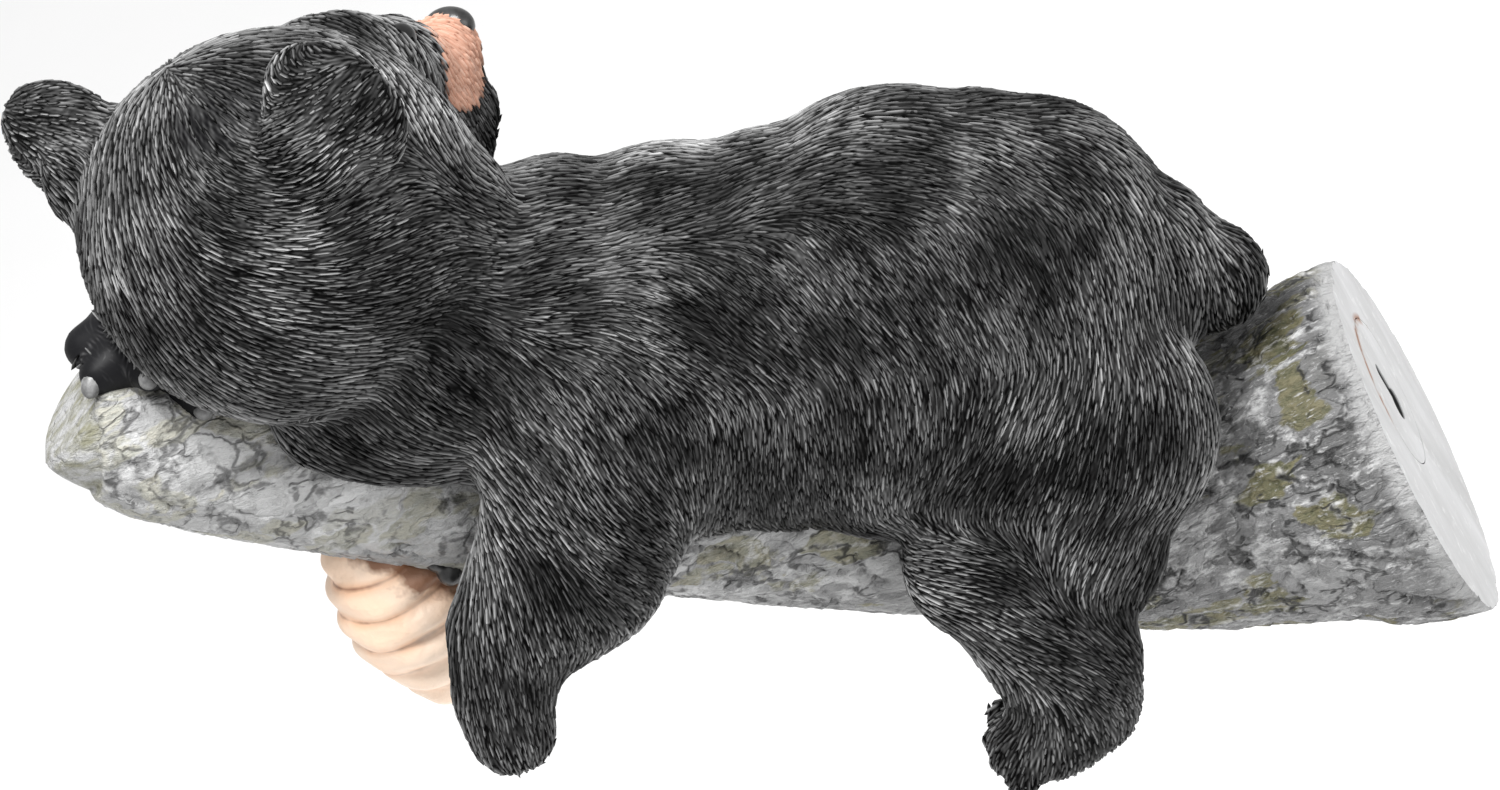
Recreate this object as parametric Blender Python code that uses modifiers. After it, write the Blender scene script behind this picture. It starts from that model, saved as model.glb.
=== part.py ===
"""A cast resin bear cub asleep along a branch stub that hangs on a trunk.

Metres, +Z up. The origin is the middle of the collar's flat end face, which lies
against the trunk in the plane X = 0. The branch runs off towards -X and rises.
The cub's left side faces -Y, and its head is turned to its right, towards +Y.
"""
import math
from collections import namedtuple

import bmesh
import bpy
import numpy as np
from mathutils import Euler, Matrix, Vector
from mathutils.kdtree import KDTree

# Driving dimensions of the cub and the branch
BEAR_LENGTH = 0.3625
BRANCH_LENGTH = 0.391
BRANCH_RISE = math.radians(29)
BRANCH_SAG = 0.0223
BRANCH_END_RADIUS = 0.0212
BRANCH_MIDDLE_RADIUS = 0.0294
COLLAR_RADIUS = 0.0428
FACE_RADIUS = 0.0542

# Driving dimensions of the beehive under the branch
HIVE_HEIGHT = 0.074
HIVE_RADIUS = 0.0232
HIVE_COILS = 7
HIVE_COIL_DEPTH = 0.0020
HIVE_SINK = 0.006
HIVE_SHARE = 0.79
HIVE_SHOULDER = 0.17
HIVE_FULLNESS = 0.75

# Driving dimensions of the hanger plug, its pocket and the keyhole
PLUG_DIAMETER = 0.046
PLUG_THICKNESS = 0.006
PLUG_RISE = 0.017
PLUG_CLEARANCE = 0.0003
KEYHOLE_LENGTH = 0.020
KEYHOLE_ROUND = 0.010
KEYHOLE_SLOT = 0.005
SCREW_ROOM_DIAMETER = 0.032
SCREW_ROOM_DEPTH = 0.012

# Carving of the fur and the bark
LOCK_LENGTH = 0.044
LOCK_WIDTH = 0.0150
LOCK_DEPTH = 0.0027
LOCK_SPACING = 0.0135
PLATE_LENGTH = 0.036
PLATE_WIDTH = 0.014
PLATE_DEPTH = 0.0026
PLATE_SPACING = 0.0130
LOWEST_LOCK = 0.5
LOCK_FLOOR = 0.25
LOCK_SLOPE = 0.15
LOCK_SEED = 7

# Grain of the modelling clay, softening rounds and the facets that are kept
BODY_GRAIN = 0.0028
BODY_ROUNDS = 10
CASTING_GRAIN = 0.0020
CASTING_ROUNDS = 3
CASTING_TRIANGLES = 9000
ROUND_SIDES = 64
LIMB_BALLS = 7
FUR_BLEND = 0.006
FAR_AWAY = 1.0
SHARP_EDGE = math.radians(35)

# The cub is laid out in steps of its own length, from its seat on the branch's axis:
# X towards the collar, Y towards the cub's right side, Z away from the branch.
STEP = BEAR_LENGTH / 1250
SEAT_SHARE = 0.460

# Round masses of the trunk: centre, radii and the way that the fur lies
TRUNK = (
    ("loin", (92, 0, 222), (198, 200, 234), (1.0, 0.0, -0.45)),
    ("saddle", (-20, 0, 204), (165, 186, 207), (1.0, 0.0, -0.5)),
    ("rump", (226, 0, 236), (160, 195, 206), (0.8, 0.0, -0.8)),
    ("croup", (168, 0, 232), (150, 197, 219), (1.0, 0.0, -0.6)),
    ("chest", (-120, 0, 191), (190, 188, 201), (1.0, 0.0, -0.5)),
    ("withers", (-240, 0, 194), (140, 172, 185), (1.0, 0.0, -0.4)),
    ("neck", (-360, 0, 222), (148, 160, 156), (1.0, 0.0, -0.3)),
    ("nape", (-305, -42, 268), (84, 84, 82), (1.0, -0.2, -0.5)),
    ("throat", (-385, -62, 128), (140, 56, 56), (1.0, 0.0, -0.4)),
    ("rump end", (343, 0, 273), (72, 95, 91), (0.7, 0.0, -0.7)),
    ("tail", (395, 0, 264), (66, 62, 56), (0.7, 0.0, -0.7)),
)

# Masses of one side, written for the left side, which is at -Y
HAUNCH = (
    ("thigh", (255, -118, 158), (152, 98, 150), (0.1, 0.0, -1.0)),
    ("knee", (186, -146, 22), (88, 68, 84), (0.4, 0.0, -1.0)),
    ("calf", (258, -142, 48), (104, 74, 118), (0.1, 0.0, -1.0)),
)
SHOULDER = (
    ("shoulder", (-205, -120, 150), (125, 86, 130), (0.2, 0.0, -1.0)),
)

# Limbs are rows of balls from station to station: centre and radius
HIND_SHANK = ((215, -150, -10, 76), (264, -158, -80, 76), (277, -166, -126, 64))
HIND_FOOT = ((300, -172, -128, 42), (256, -180, -162, 45), (224, -182, -176, 37))
LEFT_ARM = (
    (-205, -126, 112, 108), (-228, -140, 26, 96), (-288, -160, -48, 64),
    (-296, -174, -114, 50), (-286, -180, -154, 43),
)
RIGHT_ARM = (
    (-215, 128, 110, 108), (-270, 150, 40, 88), (-380, 160, 30, 66),
    (-520, 142, 74, 56), (-620, 84, 140, 54), (-668, 20, 176, 48),
)
TOES = ((208, -140, -166, 17), (204, -164, -176, 18), (209, -188, -186, 18), (222, -208, -194, 17))

# The head has axes of its own: forward along the muzzle, left, and up to the crown
HEAD_PLACE = (-506, 0, 328)
HEAD_FORWARD = Vector((0.511, 0.825, 0.248))
HEAD_UP = Vector((-0.579, 0.114, 0.809))
HEAD = (
    ("skull", (-8, 0, 4), (190, 215, 195), (-1.0, 0.0, -0.3)),
    ("brow", (134, 0, 40), (92, 120, 92), (-1.0, 0.0, 0.2)),
    ("bridge", (186, 0, 14), (84, 84, 70), (-1.0, 0.0, 0.2)),
    ("left cheek", (24, 108, -60), (112, 98, 102), (-0.8, 0.3, -0.7)),
    ("right cheek", (30, -104, -60), (112, 98, 102), (-0.8, -0.3, -0.7)),
)
MUZZLE = ((145, 0, -42, 88), (225, 0, -32, 62), (292, 0, -25, 43))
JAW = ((130, 0, -86, 78), (270, 0, -78, 42))
NOSE = ("nose", (330, 0, -12), (20, 25, 20), (-1.0, 0.0, 0.0))
EAR_RADII = (35, 79, 80)
EARS = (((-8, 188, 153), (-28, 0, 0)), ((-36, -208, 130), (28, 0, 0)))
EAR_ROOT_RADII = (54, 54, 60)
EAR_ROOT_SHARE = 0.80
EAR_ROOT_BACK = 30

# The right forepaw is laid across the branch's end: toes with a claw each
PAW_TOES = (
    ((-676, 10, 190, 34), (-704, 6, 182, 24)),
    ((-670, -14, 178, 34), (-698, -38, 166, 22)),
    ((-646, -22, 168, 34), (-648, -56, 152, 24)),
    ((-612, -16, 160, 34), (-600, -58, 144, 22)),
)
CLAWS = ((-722, 6, 170, 12), (-711, -48, 156, 13), (-652, -70, 144, 11), (-594, -70, 136, 11))
SMALL_CLAWS = ((-359, -62, -26, 13), (-345, -64, -40, 14))

Mass = namedtuple("Mass", "matrix fur")


def clear_scene():
    for item in list(bpy.data.objects):
        bpy.data.objects.remove(item, do_unlink=True)


def new_collection(name):
    group = bpy.data.collections.new(name)
    bpy.context.scene.collection.children.link(group)
    return group


def new_material(name, color, roughness):
    paint = bpy.data.materials.new(name)
    paint.use_nodes = True
    shader = paint.node_tree.nodes["Principled BSDF"]
    shader.inputs["Base Color"].default_value = (*color, 1.0)
    shader.inputs["Roughness"].default_value = roughness
    shader.inputs["Metallic"].default_value = 0.0
    return paint


def object_from(name, shape, group):
    """Turn a bmesh into an object."""
    mesh = bpy.data.meshes.new(name)
    shape.to_mesh(mesh)
    shape.free()
    item = bpy.data.objects.new(name, mesh)
    group.objects.link(item)
    return item


def applied(item):
    """Make an object's modifiers, or its curve, into plain mesh."""
    graph = bpy.context.evaluated_depsgraph_get()
    mesh = bpy.data.meshes.new_from_object(item.evaluated_get(graph))
    finished = bpy.data.objects.new(item.name, mesh)
    finished.matrix_world = item.matrix_world
    for group in item.users_collection:
        group.objects.link(finished)
    bpy.data.objects.remove(item, do_unlink=True)
    return finished


def remeshed(item, grain, rounds):
    """Fuse all the bodies of an object into one skin and soften it."""
    fuse = item.modifiers.new("Fuse", "REMESH")
    fuse.mode = "VOXEL"
    fuse.voxel_size = grain
    soften = item.modifiers.new("Soften", "SMOOTH")
    soften.factor = 0.5
    soften.iterations = rounds
    return applied(item)


def branch_frame():
    """The branch's own axes: its X runs along it towards the collar."""
    return Matrix.Rotation(BRANCH_RISE, 4, "Y")


def seat_frame():
    """The cub's layout grid, one step to a unit, on the branch's axis."""
    place = Vector((-SEAT_SHARE * BRANCH_LENGTH, 0.0, -BRANCH_SAG))
    return branch_frame() @ Matrix.Translation(place) @ Matrix.Scale(STEP, 4)


def head_frame():
    """The head's axes and place on the cub's layout grid."""
    forward = HEAD_FORWARD.normalized()
    left = HEAD_UP.cross(forward).normalized()
    crown = forward.cross(left)
    axes = Matrix((forward, left, crown)).transposed().to_4x4()
    return seat_frame() @ Matrix.Translation(HEAD_PLACE) @ axes


def make_mass(frame, centre, radii, fur, turn=(0, 0, 0)):
    angles = Euler([math.radians(angle) for angle in turn])
    matrix = frame @ Matrix.Translation(centre) @ angles.to_matrix().to_4x4()
    stretch = Matrix.Diagonal((*radii, 1.0))
    return Mass(matrix @ stretch, (frame.to_3x3() @ Vector(fur)).normalized())


def masses_from(frame, table):
    return [make_mass(frame, *row[1:]) for row in table]


def limb(frame, stations, balls=LIMB_BALLS):
    """A limb as rows of balls; its fur runs from the first station to the last."""
    masses = []
    for start, end in zip(stations, stations[1:]):
        way = Vector(end[:3]) - Vector(start[:3])
        for index in range(balls):
            share = index / (balls - 1)
            centre = Vector(start[:3]).lerp(Vector(end[:3]), share)
            radius = start[3] + (end[3] - start[3]) * share
            masses.append(make_mass(frame, centre, (radius,) * 3, way))
    return masses


def mirrored(masses):
    """The same masses on the cub's other side."""
    flip = Matrix.Scale(-1.0, 4, (0.0, 1.0, 0.0))
    return [Mass(flip @ mass.matrix, flip.to_3x3() @ mass.fur) for mass in masses]


def soft_masses():
    """Masses that run into each other under the fur."""
    seat = seat_frame()
    head = head_frame()
    haunch = masses_from(seat, HAUNCH) + limb(seat, HIND_SHANK) + limb(seat, HIND_FOOT)
    shoulder = masses_from(seat, SHOULDER)
    masses = masses_from(seat, TRUNK) + haunch + mirrored(haunch)
    masses += shoulder + mirrored(shoulder)
    masses += limb(seat, LEFT_ARM) + limb(seat, RIGHT_ARM)
    masses += masses_from(head, HEAD) + limb(head, MUZZLE) + limb(head, JAW)
    for place, turn in EARS:
        masses.append(make_mass(head, place, EAR_RADII, place, turn))
        root = Vector(place) * EAR_ROOT_SHARE - Vector((EAR_ROOT_BACK, 0, 0))
        masses.append(make_mass(head, root, EAR_ROOT_RADII, place, turn))
    return masses


def crisp_masses():
    """Small masses that keep a crease where they meet the body."""
    seat = seat_frame()
    head = head_frame()
    masses = masses_from(head, (NOSE,))
    toes = [make_mass(seat, toe[:3], (toe[3],) * 3, (-1.0, 0.0, -0.3)) for toe in TOES]
    masses += toes + mirrored(toes)
    for stations in PAW_TOES:
        masses += limb(seat, stations)
    for claw in CLAWS + SMALL_CLAWS:
        masses.append(make_mass(seat, claw[:3], (claw[3],) * 3, (0.0, 0.0, -1.0)))
    return masses


def add_ball(shape, matrix):
    """A round body of the layout, stretched and turned by its matrix."""
    made = bmesh.ops.create_icosphere(shape, subdivisions=4, radius=1.0, matrix=matrix)
    if matrix.determinant() < 0.0:
        faces = {face for vertex in made["verts"] for face in vertex.link_faces}
        bmesh.ops.reverse_faces(shape, faces=list(faces))


def body_object(name, masses, group):
    shape = bmesh.new()
    for mass in masses:
        add_ball(shape, mass.matrix)
    return object_from(name, shape, group)


def branch_stations():
    """Stations along the branch: share of its length, share of its sag, radius."""
    middle = BRANCH_MIDDLE_RADIUS
    tip = BRANCH_END_RADIUS
    thin = tip + (middle - tip) * 0.42
    return (
        (0.999, 0.62, tip * 0.35), (0.991, 0.51, tip * 0.76), (0.970, 0.31, tip * 1.02),
        (0.892, -0.08, thin), (0.698, -0.63, tip + (middle - tip) * 0.6),
        (0.452, -1.00, middle), (0.305, -1.03, middle * 1.10),
        (0.195, -0.91, middle * 1.31), (0.120, -0.65, COLLAR_RADIUS),
        (0.050, -0.20, FACE_RADIUS * 0.955),
    )


def branch_path():
    """Centres and radii of the branch, in world metres, from its tip to its face."""
    turn = branch_frame()
    points = []
    for along, lift, radius in branch_stations():
        place = Vector((-along * BRANCH_LENGTH, 0.0, lift * BRANCH_SAG))
        points.append((turn @ place, radius))
    overrun = FACE_RADIUS * 0.25
    points.append((Vector((0.0, 0.0, 0.0)), FACE_RADIUS))
    points.append((Vector((overrun, 0.0, 0.0)), FACE_RADIUS * 1.01))
    return smooth_path(points, 6)


def smooth_path(points, pieces):
    """A smooth curve through points that carry a radius."""
    path = []
    last = len(points) - 1
    for index in range(last):
        before = points[max(index - 1, 0)]
        start = points[index]
        end = points[index + 1]
        after = points[min(index + 2, last)]
        for piece in range(pieces):
            share = piece / pieces
            path.append(blended_station(before, start, end, after, share))
    path.append(points[last])
    return path


def blended_station(before, start, end, after, share):
    """A station between two others on a cardinal curve."""
    leave = (end[0] - before[0]) / 2
    arrive = (after[0] - start[0]) / 2
    square = share * share
    cube = square * share
    centre = start[0] * (2 * cube - 3 * square + 1) + leave * (cube - 2 * square + share)
    centre += end[0] * (3 * square - 2 * cube) + arrive * (cube - square)
    return centre, start[1] + (end[1] - start[1]) * share


def branch_object(group):
    """The branch and its collar as one tube of changing radius."""
    curve = bpy.data.curves.new("branch", "CURVE")
    curve.dimensions = "3D"
    curve.bevel_depth = 1.0
    curve.bevel_resolution = 12
    curve.use_fill_caps = True
    path = branch_path()
    spline = curve.splines.new("POLY")
    spline.points.add(len(path) - 1)
    for point, (centre, radius) in zip(spline.points, path):
        point.co = (*centre, 1.0)
        point.radius = radius
    item = bpy.data.objects.new("branch", curve)
    group.objects.link(item)
    return welded(applied(item))


def welded(item):
    """Join the loose caps of a curve's mesh to its sides."""
    shape = bmesh.new()
    shape.from_mesh(item.data)
    bmesh.ops.remove_doubles(shape, verts=shape.verts, dist=0.00001)
    shape.to_mesh(item.data)
    shape.free()
    return item


def hive_top():
    """Where the hive's axis meets the underside of the branch."""
    path = branch_path()
    along = branch_frame() @ Vector((-1.0, 0.0, 0.0))
    misses = [abs(centre.dot(along) - HIVE_SHARE * BRANCH_LENGTH) for centre, _ in path]
    centre, radius = path[misses.index(min(misses))]
    return centre + Vector((0.0, 0.0, -radius / math.cos(BRANCH_RISE) + HIVE_SINK))


def hive_profile():
    """Half outline of the hive from its top to its foot: radius and drop."""
    outline = []
    rows = HIVE_COILS * 8
    for row in range(rows + 1):
        share = row / rows
        egg = math.sin(math.pi * (HIVE_SHOULDER + (1.0 - HIVE_SHOULDER) * share))
        coil = abs(math.sin(math.pi * HIVE_COILS * share))
        radius = HIVE_RADIUS * max(egg, 0.0) ** HIVE_FULLNESS
        radius -= HIVE_COIL_DEPTH * (1.0 - coil) * min(1.0, 4.0 * (1.0 - share))
        outline.append((max(radius, 0.0), -HIVE_HEIGHT * share))
    return outline


def hive_object(group):
    """The beehive, a turned shape with a bulge for each coil."""
    mesh = bpy.data.meshes.new("hive")
    outline = [(0.0, HIVE_SINK)] + hive_profile() + [(0.0, -HIVE_HEIGHT)]
    rows = len(outline)
    mesh.from_pydata([(radius, 0.0, drop) for radius, drop in outline],
                     [(row, row + 1) for row in range(rows - 1)], [])
    item = bpy.data.objects.new("hive", mesh)
    item.location = hive_top()
    group.objects.link(item)
    turn = item.modifiers.new("Turn", "SCREW")
    turn.steps = ROUND_SIDES
    turn.render_steps = ROUND_SIDES
    turn.use_merge_vertices = True
    turn.merge_threshold = 0.00001
    bpy.context.view_layer.update()
    return applied(item)


def joined(name, items, group):
    """Put several objects' meshes, in world space, into one object."""
    shape = bmesh.new()
    for item in items:
        mesh = item.data.copy()
        mesh.transform(item.matrix_world)
        shape.from_mesh(mesh)
        bpy.data.meshes.remove(mesh)
        bpy.data.objects.remove(item, do_unlink=True)
    return object_from(name, shape, group)


def depth_below(points, matrix):
    """Rough distance of points outside an ellipsoid, negative inside."""
    inverse = np.array(matrix.inverted())
    local = points @ inverse[:3, :3].T + inverse[:3, 3]
    reach = np.linalg.norm(local, axis=1)
    size = abs(matrix.to_3x3().determinant()) ** (1.0 / 3.0)
    return (reach - 1.0) * size


def fur_field(points, masses):
    """The nearest mass's distance, and the way that the fur lies, at each point."""
    nearest = np.full(len(points), FAR_AWAY)
    way = np.zeros((len(points), 3))
    for mass in masses:
        distance = depth_below(points, mass.matrix)
        nearest = np.minimum(nearest, distance)
        weight = np.exp(-np.clip(distance / FUR_BLEND, -5.0, 30.0))
        way += weight[:, None] * np.array(mass.fur)
    return nearest, way


def branch_distance(points):
    """Distance of points outside the branch, negative inside."""
    nearest = np.full(len(points), FAR_AWAY)
    for centre, radius in branch_path():
        away = np.linalg.norm(points - np.array(centre), axis=1) - radius
        nearest = np.minimum(nearest, away)
    return nearest


def hive_distance(points):
    """Distance of points outside the hive's rough egg."""
    top = np.array(hive_top())
    middle = top - np.array((0.0, 0.0, HIVE_HEIGHT * 0.5))
    local = (points - middle) / np.array((HIVE_RADIUS, HIVE_RADIUS, HIVE_HEIGHT * 0.5))
    return (np.linalg.norm(local, axis=1) - 1.0) * HIVE_RADIUS


def scattered(points, spacing, draws):
    """Numbers of points drawn at random that keep a distance from each other."""
    order = draws.permutation(len(points))
    cells = {}
    chosen = []
    for number in order:
        cell = tuple(np.floor(points[number] / spacing).astype(int))
        if cell not in cells:
            cells[cell] = number
            chosen.append(number)
    return chosen


def lock_tree(seeds):
    """A search tree over the places of the locks."""
    tree = KDTree(len(seeds))
    for number, seed in enumerate(seeds):
        tree.insert(seed[0], number)
    tree.balance()
    return tree


def lock_height(place, seeds, tree, length, width):
    """The highest of the overlapping locks at a place: leaves with a lifted tip."""
    best = LOCK_FLOOR
    for _, number, _ in tree.find_range(place, length / 2):
        start, way, height = seeds[number]
        offset = place - start
        along = offset.dot(way)
        share = 2 * along / length
        room = max(1.0 - share * share, 0.0)
        across = (offset - way * along).length_squared / (width * width / 4)
        if across < room:
            lifted = height * (1.0 - LOCK_SLOPE + LOCK_SLOPE * share)
            best = max(best, lifted * (1.0 - across / room))
    return best


def carve(item, cub, details):
    """Cut locks into the fur and plates into the bark."""
    mesh = item.data
    points = np.array([vertex.co[:] for vertex in mesh.vertices])
    cub_distance, way = fur_field(points, cub)
    bark_distance = branch_distance(points)
    smooth_distance = np.minimum(fur_field(points, details)[0], hive_distance(points))
    grain = branch_frame() @ Vector((1.0, 0.0, 0.0))
    plain = smooth_distance < np.minimum(cub_distance, bark_distance)
    furry = ~plain & (cub_distance < bark_distance)
    barky = ~plain & ~furry
    ways = [Vector(line) for line in way]
    carve_zone(mesh, points, furry, ways, LOCK_SPACING, (LOCK_LENGTH, LOCK_WIDTH, LOCK_DEPTH))
    ways = [grain] * len(points)
    carve_zone(mesh, points, barky, ways, PLATE_SPACING, (PLATE_LENGTH, PLATE_WIDTH, PLATE_DEPTH))


def carve_zone(mesh, points, zone, ways, spacing, size):
    """Raise overlapping locks or plates, each drawn out along its own way."""
    length, width, depth = size
    draws = np.random.default_rng(LOCK_SEED)
    numbers = np.nonzero(zone)[0]
    seeds = []
    for chosen in scattered(points[numbers], spacing, draws):
        number = int(numbers[chosen])
        normal = mesh.vertices[number].normal
        way = ways[number] - normal * ways[number].dot(normal)
        height = draws.uniform(LOWEST_LOCK, 1.0)
        seeds.append((mesh.vertices[number].co.copy(), way.normalized(), height))
    tree = lock_tree(seeds)
    lifts = []
    for number in numbers:
        vertex = mesh.vertices[int(number)]
        lift = lock_height(vertex.co, seeds, tree, length, width) - LOWEST_LOCK
        lifts.append((vertex, vertex.normal * lift * depth))
    for vertex, lift in lifts:
        vertex.co += lift


def thinned(item, triangles):
    """Collapse an object to about a number of triangles."""
    count = sum(len(face.vertices) - 2 for face in item.data.polygons)
    thin = item.modifiers.new("Thin", "DECIMATE")
    thin.ratio = min(1.0, triangles / count)
    thin.use_collapse_triangulate = True
    return applied(item)


def disc(name, radius, front, depth, group):
    """A round body across the face: from front towards -X by its depth."""
    shape = bmesh.new()
    across = Matrix.Translation((front - depth / 2, 0.0, PLUG_RISE))
    turn = Matrix.Rotation(math.pi / 2, 4, "Y")
    bmesh.ops.create_cone(shape, cap_ends=True, segments=ROUND_SIDES, radius1=radius,
                          radius2=radius, depth=depth, matrix=across @ turn)
    return object_from(name, shape, group)


def as_cutter(item):
    item.hide_render = True
    item.display_type = "WIRE"
    return item


def cut(item, cutter):
    """Take a cutter away from an object with an exact Boolean."""
    take = item.modifiers.new("Cut " + cutter.name, "BOOLEAN")
    take.operation = "DIFFERENCE"
    take.solver = "EXACT"
    take.object = cutter


def face_cutter(group):
    """All that lies beyond the plane of the end face."""
    reach = FACE_RADIUS * 4
    shape = bmesh.new()
    bmesh.ops.create_cube(shape, size=reach, matrix=Matrix.Translation((reach / 2, 0.0, 0.0)))
    return as_cutter(object_from("beyond the face", shape, group))


def keyhole_outline():
    """The keyhole seen along X: a round hole below and a slot above it."""
    hole = KEYHOLE_ROUND / 2
    slot = KEYHOLE_SLOT / 2
    low = PLUG_RISE - KEYHOLE_LENGTH / 2 + hole
    high = PLUG_RISE + KEYHOLE_LENGTH / 2 - slot
    mouth = math.asin(slot / hole)
    points = []
    sides = ROUND_SIDES // 2
    for index in range(sides + 1):
        angle = math.pi / 2 + mouth + (2 * math.pi - 2 * mouth) * index / sides
        points.append((hole * math.cos(angle), low + hole * math.sin(angle)))
    for index in range(sides // 2 + 1):
        angle = math.pi * index / (sides // 2)
        points.append((slot * math.cos(angle), high + slot * math.sin(angle)))
    return points


def keyhole_cutter(group):
    """The keyhole as a flat outline with a thickness, set across the plug."""
    curve = bpy.data.curves.new("keyhole", "CURVE")
    curve.dimensions = "2D"
    curve.fill_mode = "BOTH"
    curve.extrude = PLUG_THICKNESS
    outline = keyhole_outline()
    spline = curve.splines.new("POLY")
    spline.points.add(len(outline) - 1)
    for point, (across, height) in zip(spline.points, outline):
        point.co = (across, height, 0.0, 1.0)
    spline.use_cyclic_u = True
    item = bpy.data.objects.new("keyhole", curve)
    group.objects.link(item)
    item.matrix_world = Matrix(((0, 0, 1, -PLUG_THICKNESS / 2), (1, 0, 0, 0),
                                (0, 1, 0, 0), (0, 0, 0, 1)))
    bpy.context.view_layer.update()
    return as_cutter(welded(applied(item)))


def make_casting(group, cutters):
    """The cub, the branch and the hive, cast as one."""
    cub = soft_masses()
    details = crisp_masses()
    clay = remeshed(body_object("cub", cub, group), BODY_GRAIN, BODY_ROUNDS)
    parts = [clay, body_object("details", details, group), branch_object(group), hive_object(group)]
    casting = remeshed(joined("bear_on_branch", parts, group), CASTING_GRAIN, CASTING_ROUNDS)
    carve(casting, cub, details)
    casting = thinned(casting, CASTING_TRIANGLES)
    casting.name = "bear_on_branch"
    pocket = PLUG_THICKNESS + PLUG_CLEARANCE
    pocket_radius = PLUG_DIAMETER / 2 + PLUG_CLEARANCE
    overrun = PLUG_THICKNESS
    cut(casting, face_cutter(cutters))
    cut(casting, as_cutter(disc("pocket", pocket_radius, overrun, overrun + pocket, cutters)))
    cut(casting, as_cutter(disc("screw room", SCREW_ROOM_DIAMETER / 2, 0.0,
                                pocket + SCREW_ROOM_DEPTH, cutters)))
    return casting


def make_plug(group, cutters):
    """The round plug with the keyhole, flush with the end face."""
    plug = disc("hanger_plug", PLUG_DIAMETER / 2, 0.0, PLUG_THICKNESS, group)
    cut(plug, keyhole_cutter(cutters))
    return plug


def finish(item, paint):
    """Give an object its material and keep its sharp edges sharp."""
    item.data.materials.append(paint)
    item.data.set_sharp_from_angle(angle=SHARP_EDGE)


def main():
    clear_scene()
    statue = new_collection("bear on a branch")
    cutters = new_collection("cutters")
    casting = make_casting(statue, cutters)
    plug = make_plug(statue, cutters)
    finish(casting, new_material("charcoal fur paint", (0.045, 0.045, 0.047), 0.5))
    finish(plug, new_material("bare grey resin", (0.62, 0.62, 0.63), 0.6))


main()
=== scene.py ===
"""Looks of a cast resin bear cub that rests along a branch stub, made to hang on a trunk.

The cub, the branch and the hive are built again from the part's own named sizes, with a
finer grain, and get their carving and paint here. Metres, +Z up. The branch's end face
lies in the plane X = 0, and the cub's left side faces -Y.
"""
import itertools
import math
from collections import namedtuple

import bmesh
import bpy
import numpy as np
from mathutils import Euler, Matrix, Vector
from mathutils.bvhtree import BVHTree


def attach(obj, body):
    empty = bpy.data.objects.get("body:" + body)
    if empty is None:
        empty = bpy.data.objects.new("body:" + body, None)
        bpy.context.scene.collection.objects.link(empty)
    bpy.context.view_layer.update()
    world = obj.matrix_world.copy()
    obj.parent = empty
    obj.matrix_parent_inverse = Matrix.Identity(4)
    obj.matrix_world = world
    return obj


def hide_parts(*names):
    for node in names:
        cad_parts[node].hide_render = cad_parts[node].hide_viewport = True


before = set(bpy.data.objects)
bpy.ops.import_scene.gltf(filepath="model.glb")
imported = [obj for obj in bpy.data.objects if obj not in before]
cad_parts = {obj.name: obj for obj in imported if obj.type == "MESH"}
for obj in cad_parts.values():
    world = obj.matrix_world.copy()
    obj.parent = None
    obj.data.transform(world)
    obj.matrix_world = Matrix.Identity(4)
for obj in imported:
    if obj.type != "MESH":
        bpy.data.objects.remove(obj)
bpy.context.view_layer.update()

# Driving dimensions of the cub and the branch
BEAR_LENGTH = 0.3625
BRANCH_LENGTH = 0.391
BRANCH_RISE = math.radians(29)
BRANCH_SAG = 0.0223
TIP_RADIUS = 0.0212
MIDDLE_RADIUS = 0.0294
COLLAR_RADIUS = 0.0428
FACE_RADIUS = 0.0542

# Driving dimensions of the beehive under the branch
HIVE_HEIGHT = 0.074
HIVE_RADIUS = 0.0232
HIVE_COILS = 7
HIVE_COIL_DEPTH = 0.0020
HIVE_COIL_ROWS = 8
HIVE_SINK = 0.006
HIVE_SHARE = 0.79
HIVE_SHOULDER = 0.17
HIVE_FULLNESS = 0.75
HIVE_FOOT_SHARE = 0.25
HIVE_LUMPS = 0.00042
HIVE_WAVES = ((5.0, 31.0, 0.0), (3.0, -47.0, 1.0))

# Driving dimensions of the hanger plug and its pocket
PLUG_DIAMETER = 0.046
PLUG_THICKNESS = 0.006
PLUG_RISE = 0.017
PLUG_CLEARANCE = 0.0003
SCREW_ROOM_DIAMETER = 0.032
SCREW_ROOM_DEPTH = 0.012

# How finely round bodies are made
ROUND_SIDES = 64
POCKET_SIDES = 128
TUBE_SIDES = 12
CLAW_SIDES = 5
BALL_SUBDIVISIONS = 4
LIMB_BALLS = 7
BRANCH_PIECES = 6
CLAW_PIECES = 5
WELD = 0.00001
SOFTENING = 0.5

# How far the branch is made past its face before the cut, its radius there, and the cutter
OVERRUN = FACE_RADIUS * 0.25
OVERRUN_RADIUS = FACE_RADIUS * 1.01
CUTTER_SIZE = FACE_RADIUS * 4

# The cub is laid out in steps of its own length, from its seat on the branch's axis:
# X towards the collar, Y towards the cub's right side, Z away from the branch.
STEP = BEAR_LENGTH / 1250
SEAT_SHARE = 0.460

# The branch from its tip to its collar: share of its length, share of its sag, and radius
BRANCH_STATIONS = (
    (0.993, 0.60, TIP_RADIUS * 0.78), (0.986, 0.52, TIP_RADIUS * 0.98),
    (0.966, 0.31, TIP_RADIUS * 1.06),
    (0.892, -0.08, TIP_RADIUS + (MIDDLE_RADIUS - TIP_RADIUS) * 0.42),
    (0.698, -0.63, TIP_RADIUS + (MIDDLE_RADIUS - TIP_RADIUS) * 0.6),
    (0.452, -1.00, MIDDLE_RADIUS), (0.305, -1.03, MIDDLE_RADIUS * 1.10),
    (0.195, -0.91, MIDDLE_RADIUS * 1.31), (0.120, -0.65, COLLAR_RADIUS),
    (0.050, -0.20, FACE_RADIUS * 0.955),
)

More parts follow.
